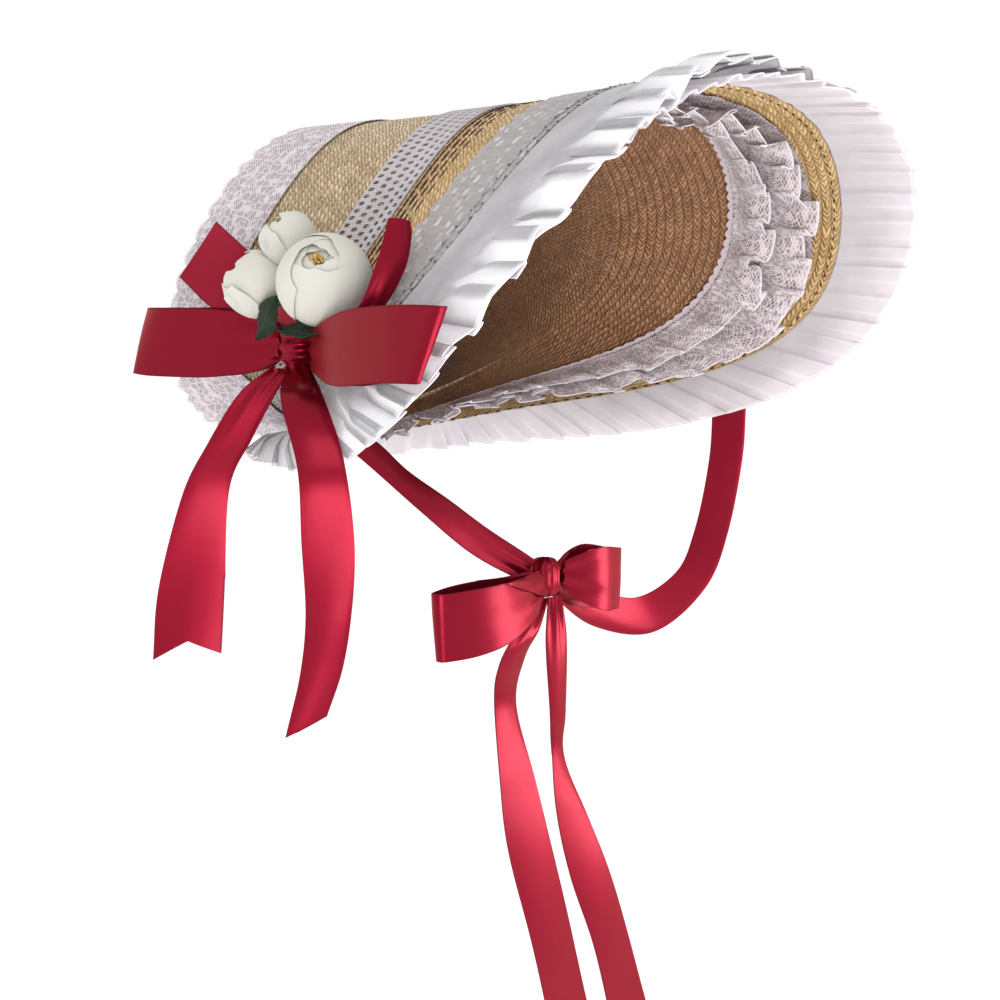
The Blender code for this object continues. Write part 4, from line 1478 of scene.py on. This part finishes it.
@dataclass
class Frills:
    """The outer ruffle, the pleated frill and the lace ruffle inside."""

    form: BonnetForm
    ruffle_reach: float = 1.97
    calm_angle: float = 247.0
    calm_width: float = 0.33
    ruffle_hem: float = 0.45
    frill_hem: float = 0.35
    inner_hem: float = 0.32
    near_cut: float = 0.40
    frill_drop: float = 2.0
    bare_nape: float = 9.5
    bare_more: float = 9.0
    ruffle_folds: FoldShape = FoldShape(40, 4.3, 0.24, 0.60, 3.0, 11)
    pleats: FoldShape = FoldShape(64, 1.2, 0.20, 0.65, 0.0, 12)
    inner_folds: FoldShape = FoldShape(42, 4.0, 0.20, 0.60, 1.6, 13)
    upper_folds: FoldShape = FoldShape(36, 3.4, 0.16, 0.60, 1.4, 14)
    # The last number of each chiffon finish sets its painted fold highlight.
    chiffon: ChiffonFinish = ChiffonFinish(
        "chiffon_ruffle", (0.74, 0.725, 0.76), (0.50, 0.475, 0.51), 0.42, 0.8
    )
    pleated: ChiffonFinish = ChiffonFinish(
        "chiffon_pleats", (0.84, 0.78, 0.82), (0.66, 0.59, 0.63), 0.16, 0.2
    )
    lace: LaceFinish = LaceFinish("lace_lining", (0.56, 0.47, 0.49), (0.36, 0.28, 0.30), 0.8, 3.0, 1.2)
    inner_lace: LaceFinish = LaceFinish(
        "lace_ruffle", (0.74, 0.66, 0.68), (0.44, 0.36, 0.38), 0.72, 1.9, 0.8
    )
    hem: ThreadFinish = ThreadFinish("rolled_hem", (0.86, 0.83, 0.87), (0.74, 0.70, 0.75))

    def _fold(self, shape: FoldShape, angles: Grid) -> tuple[Grid, Grid, Grid]:
        """Give the folds' phase, height and sideways shift.

        Args:
            shape: How the cloth is gathered.
            angles: Where they are wanted.

        Returns:
            Folds passed, height of minus one to one, and shift in folds.
        """
        phase = uneven_phase(angles, shape.count, shape.sway, shape.seed)
        part = phase - np.floor(phase)
        strength = 1.0 + 0.4 * gentle_noise(angles, shape.count // 4, shape.count, shape.seed + 1)
        strength = np.clip(strength, 0.15, 1.8)
        if shape.crisp:
            height = np.tanh(shape.crisp * np.sin(TURN * part)) / math.tanh(shape.crisp)
            return phase, strength * height, shape.slide * np.sin(2.0 * TURN * part)
        turn = 0.80
        rise = np.where(part < turn, part / turn, (1.0 - part) / (1.0 - turn))
        return phase, -strength * np.cos(rise * math.pi), rise * shape.slide

    def outer(self) -> list[bpy.types.Object]:
        """Build the soft ruffle over the brim's edge, with its rolled hem."""
        form, shape = self.form, self.ruffle_folds
        flat = form.angles(1260)
        phase, height, shift = self._fold(shape, flat)
        columns = np.linspace(0.0, 1.0, 18)
        grow = smoothstep(columns, 0.05, 0.68)
        angles = flat[:, None] + (shift * TURN / shape.count)[:, None] * grow**2
        seam = form.seam(flat) + 0.012
        near, far = np.maximum(0.0, -np.sin(flat)), smoothstep(np.sin(flat + 0.5), -0.1, 0.8)
        calm = np.exp(-(((flat - math.radians(self.calm_angle)) / self.calm_width) ** 2))
        ragged = self.ruffle_reach - 0.15 * calm + 0.05 * gentle_noise(flat, 30, 80, 21)
        ragged = ragged + 0.06 * height + 0.12 * near - 0.25 * far
        shares = seam[:, None] + (ragged - seam)[:, None] * columns
        face = form.slid_face(angles, shares)
        normals = outward(form.brim_face(flat, shares))
        rest = form.seat + 0.9 + 3.0 * smoothstep(columns, 0.15, 0.7)
        lift = rest * (1.0 - 0.3 * far - 0.5 * calm)[:, None]
        lift = lift + shape.depth * ((1.0 + height) * (0.85 - 0.6 * far - 0.5 * calm))[:, None] * grow
        middle = face + lift[..., None] * normals
        own = grid_normals(middle, True)
        draft = MeshDraft()
        weave = folded_weave(phase, columns, float(shape.count))
        draft.wall(middle + HALF_CLOTH * own, middle - HALF_CLOTH * own, weave, True)
        piece = draft.build("gathered_ruffle", self.chiffon.material())
        hem = MeshDraft()
        add_tube(hem, middle[:, -1], normals[:, -1], self.ruffle_hem, 5, True)
        border = hem.build("ruffle_hem", self.hem.material())
        stand_for("brim_ruffle", Slot.CHIFFON, piece, border)
        declare_cloth(middle)
        return [piece, border]

    def frill(self) -> list[bpy.types.Object]:
        """Build the knife-pleated frill round the whole brim."""
        form, shape = self.form, self.pleats
        flat = form.angles(1440)
        phase, height, shift = self._fold(shape, flat)
        columns = np.linspace(0.0, 1.0, 10)
        edge = form.brim_edge(flat)
        along = unit(edge - form.join_ring(flat))
        root_face = outward(form.brim_face(flat, np.tile((0.9, 1.0), (len(flat), 1))))[:, 1]
        free_face = outward(form.brim_face(flat, np.tile((1.01, 2.0), (len(flat), 1))))[:, 1]
        slid = flat + shift * TURN / shape.count
        root = edge + 0.45 * along - (form.straw / 2) * root_face
        cut = self.near_cut * smoothstep(-np.sin(flat), 0.0, 0.8)
        reach = 1.0 + 0.012 * gentle_noise(flat, 8, 40, 31) - cut
        free = form.brim_edge(slid) + reach[:, None] * form.frill_reach(slid) - self.frill_drop * free_face
        grow = (0.3 + 0.7 * columns)[None, :, None]
        face = root[:, None] + columns[None, :, None] * (free - root)[:, None]
        middle = face + shape.depth * height[:, None, None] * grow * free_face[:, None]
        own = grid_normals(middle, True)
        draft = MeshDraft()
        weave = folded_weave(phase, columns, float(shape.count))
        draft.wall(middle + HALF_CLOTH * own, middle - HALF_CLOTH * own, weave, True)
        piece = draft.build("knife_frill", self.pleated.material())
        hem = MeshDraft()
        add_tube(hem, middle[:, -1], free_face, self.frill_hem, 5, True)
        border = hem.build("frill_hem", self.hem.material())
        stand_for("pleated_frill", Slot.CHIFFON, piece, border)
        declare_cloth(middle)
        return [piece, border]

    def _bare(self, angles: Grid) -> Grid:
        """Give the width of the bare straw inside the brim's edge."""
        return self.bare_nape + self.bare_more * np.maximum(0.0, np.cos(angles))

    def lining(self) -> bpy.types.Object:
        """Build the lace lining inside the brim."""
        form, angles = self.form, self.form.angles(560)
        start = form.lining_start(angles) - 0.012 * np.abs(np.sin(angles * 70.0))
        end = 1.0 - self._bare(angles) / form.brim_width(angles)
        shares = start[:, None] + (end - start)[:, None] * np.linspace(0.0, 1.0, 10)
        face = form.brim_face(angles, shares)
        normals = outward(face)
        ripple = 0.3 * gentle_noise(angles, 30, 80, 41)
        middle = face - (form.straw + form.seat + 0.6 + ripple)[:, None, None] * normals
        weave = closed_weave(len(angles), mean_lengths(middle) / 2.0, 360.0)
        draft = MeshDraft()
        draft.wall(middle + HALF_CLOTH * normals, middle - HALF_CLOTH * normals, weave, True)
        piece = draft.build("lace_lining_sheet", self.lace.material())
        stand_for("inner_lace_lining", Slot.LACE, piece)
        declare_cloth(middle)
        return piece

    def inner(self) -> list[bpy.types.Object]:
        """Build the two tiers of gathered lace on the lining, with their rolled hems."""
        form = self.form
        flat = form.angles(1008)
        start = form.lining_start(flat)
        edge = 1.0 - (self._bare(flat) + 1.0 + 4.0 * gentle_noise(flat, 15, 50, 51)) / form.brim_width(flat)
        middle_share = start + 0.50 * (edge - start) + 0.05 * gentle_noise(flat, 12, 40, 52)
        draft, hem, tiers = MeshDraft(), MeshDraft(), []
        for shape, root, end, raise_by in (
            (self.inner_folds, start + 0.45 * (edge - start), edge, 0.0),
            (self.upper_folds, start + 0.06 * (edge - start), middle_share, 1.2),
        ):
            _, height, shift = self._fold(shape, flat)
            columns = np.linspace(0.0, 1.0, 11)
            grow = smoothstep(columns, 0.0, 0.8)
            angles = flat[:, None] + (shift * TURN / shape.count)[:, None] * grow**2
            shares = root[:, None] + (end - root)[:, None] * columns
            slid = form.slid_face(angles, shares)
            normals = outward(form.brim_face(flat, shares))
            rest = form.straw + 2.0 * form.seat + 1.2 + (3.2 + raise_by) * smoothstep(columns, 0.0, 0.6)
            drop = rest + shape.depth * (1.0 + height[:, None]) * grow
            middle = slid - drop[..., None] * normals
            weave = closed_weave(len(flat), 12.0 * (1.0 - columns), 800.0)
            own = grid_normals(middle, True)
            draft.wall(middle + HALF_CLOTH * own, middle - HALF_CLOTH * own, weave, True)
            add_tube(hem, middle[:, -1], normals[:, -1], self.inner_hem, 5, True)
            tiers.append(middle)
        piece = draft.build("inner_gathers", self.inner_lace.material())
        border = hem.build("inner_hem", self.hem.material())
        stand_for("inner_ruffle", Slot.LACE, piece, border)
        declare_cloth(tiers[0], tiers[1:])
        return [piece, border]


@dataclass(frozen=True)
class RibbonRun:
    """One length of ribbon: its rows, the node it stands for and how it is cut."""

    name: str
    node: str
    rows: tuple
    held: Held
    creases: tuple[float, float] = (1.0, 0.0)
    notch: float = 0.0
    slant: float = 0.0
    cup: float = 0.6


@dataclass
class RibbonWork:
    """Satin ribbons that start from one knot."""

    centre: tuple[float, float, float]
    knot_name: str
    knot_node: str
    knot_size: tuple[float, float, float]
    runs: tuple[RibbonRun, ...]
    upright_creases: bool = False
    width: float = 34.0
    thickness: float = 0.5
    station: float = 2.0
    crease_reach: float = 13.0
    shown_columns: int = 15
    hidden_columns: int = 7
    carried_by: tuple[str, ...] = ()

    def _rows(self, rows: Sequence[Sequence[float]], steps: int = 24) -> Grid:
        """Run a smooth curve through the rows."""
        known = np.array(rows, float)
        padded = np.concatenate([[2 * known[0] - known[1]], known, [2 * known[-1] - known[-2]]])
        share = (np.arange(steps) / steps)[:, None]
        made = []
        for i in range(len(known) - 1):
            a, b, c, d = padded[i : i + 4]
            square, cube = (2 * a - 5 * b + 4 * c - d) * share**2, (3 * b - a - 3 * c + d) * share**3
            made.append(0.5 * (2 * b + (c - a) * share + square + cube))
        return np.concatenate([*made, known[-1:]])

    def _run(self, run: RibbonRun, satin: bpy.types.Material) -> bpy.types.Object:
        """Build one length of ribbon.

        Args:
            run: What it looks like.
            satin: Its material.

        Returns:
            The ribbon.
        """
        rows = self._rows(run.rows)
        path = np.array(self.centre) + np.stack([-rows[:, 1], -rows[:, 0], rows[:, 2]], axis=1)
        lean, heading = np.radians(rows[:, 3]), np.radians(rows[:, 4])
        tipped = np.sin(lean)
        wide = np.stack([tipped * np.cos(heading), tipped * np.sin(heading), np.cos(lean)], axis=1)
        length = np.concatenate([[0.0], np.cumsum(np.linalg.norm(np.diff(path, axis=0), axis=1))])
        face = unit(np.cross(unit(np.gradient(path, axis=0)), wide))
        total = length[-1]
        stations = np.linspace(0.0, total, max(30, int(total / self.station)))
        shown = np.linspace(-1.0, 1.0, self.shown_columns)
        hidden = np.linspace(1.0, -1.0, self.hidden_columns)[1:]
        chord = np.interp(stations, length, self.width * rows[:, 5])
        flap = np.clip(0.92 * self.width - chord, 0.0, 0.9 * chord)
        half = chord[:, None] / 2
        across = np.concatenate([half * shown, half - (1.0 - hidden) / 2 * flap[:, None]], axis=1)
        sunk = np.repeat(np.minimum(flap[:, None], 1.3), len(hidden), axis=1)
        under = np.concatenate([np.zeros((len(stations), len(shown))), sunk], axis=1)
        near = np.exp(-stations / self.crease_reach)[:, None] * run.creases[0]
        far = np.exp(-(total - stations) / self.crease_reach)[:, None] * run.creases[1]
        place = across / np.maximum(half, 1e-6)
        lift = (near + far) * 1.3 * np.cos(place * 7.3 + 0.6) + run.cup * (1.0 - place**2)
        lift += 0.5 * np.sin(stations[:, None] / 23.0 + place * 1.4)
        cut = run.notch * (1.0 - np.abs(place)) + run.slant * (1.0 + place) / 2
        where = stations[:, None] * (1.0 - cut / total)
        spot = [np.interp(where, length, path[:, n]) for n in range(3)]
        turned = [np.interp(where, length, wide[:, n]) for n in range(3)]
        facing = [np.interp(where, length, face[:, n]) for n in range(3)]
        middle = (
            np.stack(spot, axis=-1)
            + across[..., None] * unit(np.stack(turned, axis=-1))
            + (lift - under)[..., None] * unit(np.stack(facing, axis=-1))
        )
        normals = grid_normals(middle, False)
        steps = np.linalg.norm(np.diff(middle, axis=1), axis=-1)
        flat = np.concatenate([0.0 * half, np.cumsum(steps, axis=1)], axis=1)
        flat = flat / np.maximum(flat[:, -1:], 1e-6)
        weave = np.stack(np.broadcast_arrays(stations[:, None] / self.width, flat), axis=-1)
        draft = MeshDraft()
        draft.wall(middle + self.thickness / 2 * normals, middle - self.thickness / 2 * normals, weave, False)
        piece = draft.build(run.name, satin)
        stand_for(run.node, Slot.SATIN, piece)
        return piece

    def _knot(self, satin: bpy.types.Material) -> bpy.types.Object:
        """Build the wrapped knot with its creases."""
        turns, heights = 72, np.linspace(-1.0, 1.0, 41)
        angles = np.arange(turns) * TURN / turns
        belly = 0.42 + 0.58 * (1.0 - np.abs(heights) ** 2.6) ** 0.5
        if self.upright_creases:
            crease = 0.07 * np.sin(9.0 * angles)[:, None] * (0.5 + 0.5 * np.abs(heights))
        else:
            crease = 0.07 * np.sin(11.0 * heights + 1.3 * np.sin(angles)[:, None] + 0.7)
        radius = belly * (1.0 + crease)
        x, y, z = self.knot_size
        grid = np.stack(
            [
                self.centre[0] + x * radius * np.cos(angles)[:, None],
                self.centre[1] + y * radius * np.sin(angles)[:, None],
                self.centre[2] + z * np.broadcast_to(heights, radius.shape),
            ],
            axis=-1,
        )
        normals = grid_normals(grid, True)
        outside = grid - np.array(self.centre)
        normals *= np.sign(np.sum(normals * outside, axis=-1, keepdims=True) + 1e-9)
        weave = closed_weave(turns, (heights + 1.0) / 2, 2.0)
        draft = MeshDraft()
        draft.wall(grid, grid - 0.6 * normals, weave, True)
        piece = draft.build(self.knot_name, satin)
        stand_for(self.knot_node, Slot.SATIN, piece)
        declare_cloth(grid)
        return piece

    def build(self, satin: bpy.types.Material) -> list[bpy.types.Object]:
        """Build the knot and all its ribbons."""
        return [self._knot(satin), *(self._run(run, satin) for run in self.runs)]


@dataclass(frozen=True)
class PetalRing:
    """Petals that stand at the same height in a flower."""

    count: int
    size: float
    close: float
    half_angle: float
    curl: float
    ruffle: float
    start: float = 0.0


@dataclass
class Rose:
    """A rose built from rings of cupped petals."""

    name: str
    node: str
    centre: tuple[float, float, float]
    radius: float
    facing: tuple[float, float, float]
    rings: tuple[PetalRing, ...]
    seed: int
    heart: float = 0.13
    stamens: int = 14

    def _axes(self) -> tuple[Grid, Grid, Grid]:
        """Give the flower's facing, side and rise."""
        axis = unit(np.array(self.facing, float))
        side = unit(np.cross(axis, (0.0, 0.0, 1.0)))
        return axis, side, np.cross(side, axis)

    def _petal(self, draft: MeshDraft, ring: PetalRing, turn: float, picks: np.random.Generator) -> None:
        """Add one petal.

        Args:
            draft: The flower's mesh.
            ring: What the petal looks like.
            turn: Where it stands round the flower.
            picks: Source of its small differences.
        """
        axis, side, rise = self._axes()
        across, up = np.linspace(-1.0, 1.0, 19), np.linspace(0.0, 1.0, 15)
        w, v = np.meshgrid(across, up)
        tip = 1.0 - 0.16 * w**2 - 0.05 * np.cos(3.0 * w * math.pi + picks.uniform(0, 6)) * ring.ruffle
        polar = v * tip * ring.close * (1.0 + picks.uniform(-0.04, 0.04))
        width = ring.half_angle * (0.35 + 0.65 * np.sin(np.clip(v * 1.25, 0.0, 1.0) * math.pi / 2))
        angle = turn + w * width
        flare = ring.curl * smoothstep(v, 0.62, 1.0) * (1.0 + 0.5 * w**2)
        wave = 0.035 * ring.ruffle * np.sin(4.0 * w + picks.uniform(0.0, 6.0)) * v**2
        tuck = -0.035 * w * (1.0 if ring.count > 1 else 0.0)
        size = self.radius * ring.size * (1.0 + flare + wave + tuck)
        polar = np.clip(polar, 0.0, math.pi)
        spot = (
            (np.cos(angle) * np.sin(polar))[..., None] * side
            + (np.sin(angle) * np.sin(polar))[..., None] * rise
            - 0.92 * np.cos(polar)[..., None] * axis
        )
        middle = np.array(self.centre) + size[..., None] * spot
        normals = grid_normals(middle, False)
        thick = 0.25 * np.sqrt(np.clip(1.05 - np.abs(w) ** 4, 0.05, 1.0))[..., None]
        weave = np.stack([(w + 1.0) / 2, v], axis=-1)
        draft.wall(middle + thick * normals, middle - thick * normals, weave, False)

    def build(self, petals: bpy.types.Material, heart: bpy.types.Material) -> list[bpy.types.Object]:
        """Build the petals and the heart."""
        picks = np.random.default_rng(self.seed)
        draft = MeshDraft()
        for ring in self.rings:
            for n in range(ring.count):
                turn = ring.start + n * TURN / ring.count + picks.uniform(-0.12, 0.12)
                self._petal(draft, ring, turn, picks)
        piece = draft.build(self.name, petals)
        stand_for(self.node, Slot.PETAL, piece)
        if not self.heart:
            return [piece]
        axis, side, rise = self._axes()
        core = MeshDraft()
        count = self.stamens
        turn = np.arange(count) * GOLDEN_ANGLE
        reach = self.heart * self.radius * np.sqrt((np.arange(count) + 0.5) / count)
        spots = (
            np.array(self.centre)
            + (reach * np.cos(turn))[:, None] * side
            + (reach * np.sin(turn))[:, None] * rise
            + 0.74 * self.radius * axis
        )
        lean = unit(axis + 0.4 * (spots - spots.mean(axis=0)) / max(self.radius * self.heart, 1.0))
        add_beads(core, spots, lean, np.tile(side, (count, 1)), (2.6, 0.7, 0.7))
        middle = core.build(self.name + "_heart", heart)
        return [piece, middle]


@dataclass
class Leaf:
    """A pointed leaf, cupped and curled."""

    name: str
    node: str
    centre: tuple[float, float, float]
    along: tuple[float, float, float]
    length: float = 36.0
    width: float = 13.0
    curl: float = 3.0
    tilt: float = 15.0

    def build(self, green: bpy.types.Material) -> bpy.types.Object:
        """Build the leaf."""
        along = unit(np.array(self.along, float))
        tilt = math.radians(self.tilt)
        upright = unit(np.cross(along, (0.0, 0.0, 1.0)))
        face = math.cos(tilt) * upright + math.sin(tilt) * np.cross(upright, along)
        across = np.cross(face, along)
        v, w = np.meshgrid(np.linspace(-0.5, 0.5, 33), np.linspace(-1.0, 1.0, 13), indexing="ij")
        wide = self.width / 2 * np.clip(1.0 - np.abs(2.0 * v) ** 2.2, 0.03, 1.0)
        teeth = 1.0 + 0.06 * np.sin(v * 70.0) * np.abs(w)
        bend = self.curl * np.sin(v * 5.0) + 1.8 * np.abs(w) ** 1.5 + 0.5 * np.sin(v * 22.0) * w**2
        middle = (
            np.array(self.centre)
            + (v * self.length)[..., None] * along
            + (w * wide * teeth)[..., None] * across
            + bend[..., None] * face
        )
        normals = grid_normals(middle, False)
        draft = MeshDraft()
        weave = np.stack([v + 0.5, (w + 1.0) / 2], axis=-1)
        draft.wall(middle + 0.25 * normals, middle - 0.25 * normals, weave, False)
        piece = draft.build(self.name, green)
        stand_for(self.node, Slot.LEAF, piece)
        return piece


@dataclass
class Trimmings:
    """The side bow with its flowers and the tie under the chin."""

    bow: tuple[float, float, float] = (-128.2, -45.7, -19.4)
    chin: tuple[float, float, float] = (0.0, -92.0, -142.0)
    rose_radius: float = 22.0
    satin: SatinFinish = SatinFinish(
        "satin_crimson", (0.225, 0.0032, 0.017), (0.165, 0.0022, 0.012), (1.0, 0.24, 0.33)
    )
    petal: PetalFinish = PetalFinish("petal_cream", (0.60, 0.585, 0.525), (0.44, 0.44, 0.32))
    leaf: LeafFinish = LeafFinish("leaf_dark", (0.006, 0.017, 0.006), (0.020, 0.045, 0.014))
    heart: ThreadFinish = ThreadFinish("rose_heart", (0.72, 0.50, 0.16), (0.45, 0.26, 0.05))

    def side_bow(self) -> RibbonWork:
        """Lay out the bow at the side."""
        return RibbonWork(
            self.bow,
            "side_knot",
            "bow_knot",
            (10.0, 10.0, 11.0),
            (
                RibbonRun(
                    "side_loop_back", "bow_loop_back", LOOP_BACK_ROWS, Held.FOLDED, (1.0, 1.0), cup=0.0
                ),
                RibbonRun(
                    "side_loop_front", "bow_loop_front", LOOP_FRONT_ROWS, Held.FOLDED, (1.3, 1.3), cup=0.0
                ),
                RibbonRun(
                    "side_end_upper", "bow_end_upper", END_UPPER_ROWS, Held.HUNG, (0.8, 0.0), slant=1.0
                ),
                RibbonRun(
                    "side_fold_upper", "bow_fold_upper", FOLD_UPPER_ROWS, Held.FOLDED, (0.4, 0.0), cup=1.2
                ),
                RibbonRun(
                    "side_tail_back", "bow_tail_back", TAIL_BACK_ROWS, Held.HUNG, (0.9, 0.0), notch=8.0
                ),
                RibbonRun(
                    "side_tail_front", "bow_tail_front", TAIL_FRONT_ROWS, Held.HUNG, (0.9, 0.0), slant=-8.0
                ),
            ),
            carried_by=("brim_tulle",),
        )

    def chin_tie(self) -> RibbonWork:
        """Lay out the straps and the bow under the chin."""
        return RibbonWork(
            self.chin,
            "tie_knot",
            "chin_knot",
            (8.0, 8.0, 10.0),
            (
                RibbonRun(
                    "tie_loop_right",
                    "chin_loop_right",
                    CHIN_LOOP_RIGHT_ROWS,
                    Held.FOLDED,
                    (0.9, 0.9),
                    cup=0.0,
                ),
                RibbonRun(
                    "tie_loop_left", "chin_loop_left", CHIN_LOOP_LEFT_ROWS, Held.FOLDED, (0.9, 0.9), cup=0.0
                ),
                RibbonRun(
                    "tie_tail_right", "chin_tail_right", CHIN_TAIL_RIGHT_ROWS, Held.HUNG, (0.8, 0.0)
                ),
                RibbonRun(
                    "tie_tail_left", "chin_tail_left", CHIN_TAIL_LEFT_ROWS, Held.HUNG, (0.8, 0.0)
                ),
                RibbonRun(
                    "tie_strap_right", "chin_strap_right", STRAP_RIGHT_ROWS, Held.HUNG, (0.3, 0.8)
                ),
                RibbonRun(
                    "tie_strap_left", "chin_strap_left", STRAP_LEFT_ROWS, Held.HUNG, (0.3, 0.8)
                ),
            ),
            upright_creases=True,
            carried_by=("chin_strap_left", "chin_strap_right"),
        )

    def flowers(self) -> tuple[list[Rose], list[Leaf]]:
        """Lay out the roses and leaves."""
        x, y, z = self.bow
        bud = (
            PetalRing(3, 0.80, 3.00, 1.6, 0.0, 0.1, 0.3),
            PetalRing(3, 0.87, 2.96, 1.7, 0.0, 0.1, 1.3),
            PetalRing(3, 0.94, 2.88, 1.7, 0.0, 0.2, 2.2),
            PetalRing(3, 1.00, 2.72, 1.7, 0.0, 0.2, 0.7),
        )
        open_rings = (
            PetalRing(3, 0.60, 2.95, 1.8, 0.0, 0.4, 0.4),
            PetalRing(3, 0.80, 2.85, 1.7, 0.03, 1.0, 1.4),
            PetalRing(3, 1.00, 2.55, 1.5, 0.10, 1.8, 0.5),
        )
        shut = 0.0
        large = self.rose_radius
        small, half = 0.70 * large, 0.60 * large
        places = ((x - 18, y - 34.3, z + 32.3), (x - 11, y + 17.3, z + 28.3), (x - 1, y + 5.2, z + 49.6))
        roses = [
            Rose("large_rose", "rose_large", places[0], large, (-0.72, -0.42, 0.62), bud, 61),
            Rose("small_rose", "rose_small", places[1], small, (-0.35, 0.75, 0.55), open_rings, 62, shut),
            Rose("half_rose", "rose_half", places[2], half, (-0.30, 0.45, 0.85), open_rings, 63, shut),
        ]
        middle = (x - 24, y - 26, z + 8.5)
        leaves = [
            Leaf("back_leaf", "leaf_back", (x - 20, y + 3, z + 14.0), (0.05, 0.8, -0.9), 30.0, 12.0),
            Leaf("front_leaf", "leaf_front", middle, (-0.3, -0.95, 0.06), 46.0, 15.0, -1.5, 68.0),
        ]
        return roses, leaves

    def build(self) -> list[bpy.types.Object]:
        """Build the bow, the flowers and the tie."""
        satin = self.satin.material()
        pieces = self.side_bow().build(satin) + self.chin_tie().build(satin)
        roses, leaves = self.flowers()
        petals, heart, green = self.petal.material(), self.heart.material(), self.leaf.material()
        for rose in roses:
            pieces += rose.build(petals, heart)
        pieces += [leaf.build(green) for leaf in leaves]
        return pieces


@dataclass
class Studio:
    """A pale floor, plain soft light and the camera at the photograph's angle."""

    floor_height: float = -1.0
    floor_size: float = 12.0
    camera_place: tuple[float, float, float] = (-0.8704, -0.7925, 0.0449)
    forward: tuple[float, float, float] = (0.7595, 0.6373, -0.1305)
    lens: float = 79.2
    aim: tuple[float, float, float] = (0.0, -0.05, 0.0)
    lights: tuple[tuple[str, tuple, float, float], ...] = field(
        default_factory=lambda: (
            ("key_light", (-1.7, -1.5, 1.2), 7.0, 0.9),
            ("low_light", (-1.35, -1.30, -0.42), 10.0, 0.7),
            ("fill_light", (1.45, -1.30, -0.30), 13.0, 0.7),
            ("back_light", (-1.2, 1.6, 1.2), 3.5, 0.9),
        )
    )

    def floor(self) -> bpy.types.Object:
        """Lay the floor."""
        mesh = bpy.data.meshes.new("floor")
        size, height = self.floor_size, self.floor_height
        corners = [(x * size, y * size, height) for x, y in ((-1, -1), (1, -1), (1, 1), (-1, 1))]
        mesh.from_pydata(corners, [], [(0, 1, 2, 3)])
        graph = Graph("pale_floor")
        tone = graph.noise(graph.place(), 3.0)
        graph.surface(
            Base_Color=graph.blend((0.90, 0.90, 0.90), (0.94, 0.94, 0.94), tone),
            Roughness=0.9,
            Specular_IOR_Level=0.1,
            Emission_Color=(1.0, 1.0, 1.0),
            Emission_Strength=0.2,
        )
        mesh.materials.append(graph.material)
        piece = bpy.data.objects.new("floor", mesh)
        bpy.context.scene.collection.objects.link(piece)
        return piece

    def light(self) -> None:
        """Set the sky and the soft lamps."""
        world = bpy.data.worlds.new("studio")
        world.use_nodes = True
        world.node_tree.nodes["Background"].inputs["Color"].default_value = (1.0, 1.0, 1.0, 1.0)
        world.node_tree.nodes["Background"].inputs["Strength"].default_value = 1.0
        bpy.context.scene.world = world
        for name, place, power, size in self.lights:
            lamp = bpy.data.lights.new(name, "AREA")
            lamp.energy, lamp.size = power, size
            item = bpy.data.objects.new(name, lamp)
            item.location = place
            item.rotation_euler = (Vector(self.aim) - Vector(place)).to_track_quat("-Z", "Y").to_euler()
            bpy.context.scene.collection.objects.link(item)

    def camera(self) -> None:
        """Set the camera."""
        forward = Vector(self.forward).normalized()
        right = forward.cross(Vector((0.0, 0.0, 1.0))).normalized()
        up = right.cross(forward)
        data = bpy.data.cameras.new("camera")
        data.lens, data.sensor_width, data.clip_start = self.lens, 36.0, 0.01
        item = bpy.data.objects.new("camera", data)
        turned = Matrix((right, up, -forward)).transposed().to_4x4()
        item.matrix_world = Matrix.Translation(self.camera_place) @ turned
        bpy.context.scene.collection.objects.link(item)
        bpy.context.scene.camera = item

    def build(self) -> None:
        """Build the whole studio."""
        self.floor()
        self.light()
        self.camera()
        bpy.context.scene.view_settings.view_transform = "Standard"


def report(pieces: Sequence[bpy.types.Object]) -> None:
    """Log each piece with its number of triangles."""
    for piece in pieces:
        LOG.info("%s: %d triangles", piece.name, sum(len(face.vertices) - 2 for face in piece.data.polygons))


def main() -> None:
    """Build every piece in order."""
    logging.basicConfig(level=logging.INFO, format="%(name)s: %(message)s")
    form = BonnetForm()
    straw = StrawBody(form)
    crown = straw.crown()
    report([crown, straw.brim(*crown.data.materials)])
    report(Stitching(form).build())
    lace = CrownLace(form)
    report([lace.back(), lace.tape()])
    tulle = BrimTulle(form)
    report([tulle.veil(), *tulle.cords()])
    frills = Frills(form)
    report([*frills.outer(), *frills.frill(), frills.lining(), *frills.inner()])
    report(Trimmings().build())
    Studio().build()


if __name__ == "__main__":
    main()
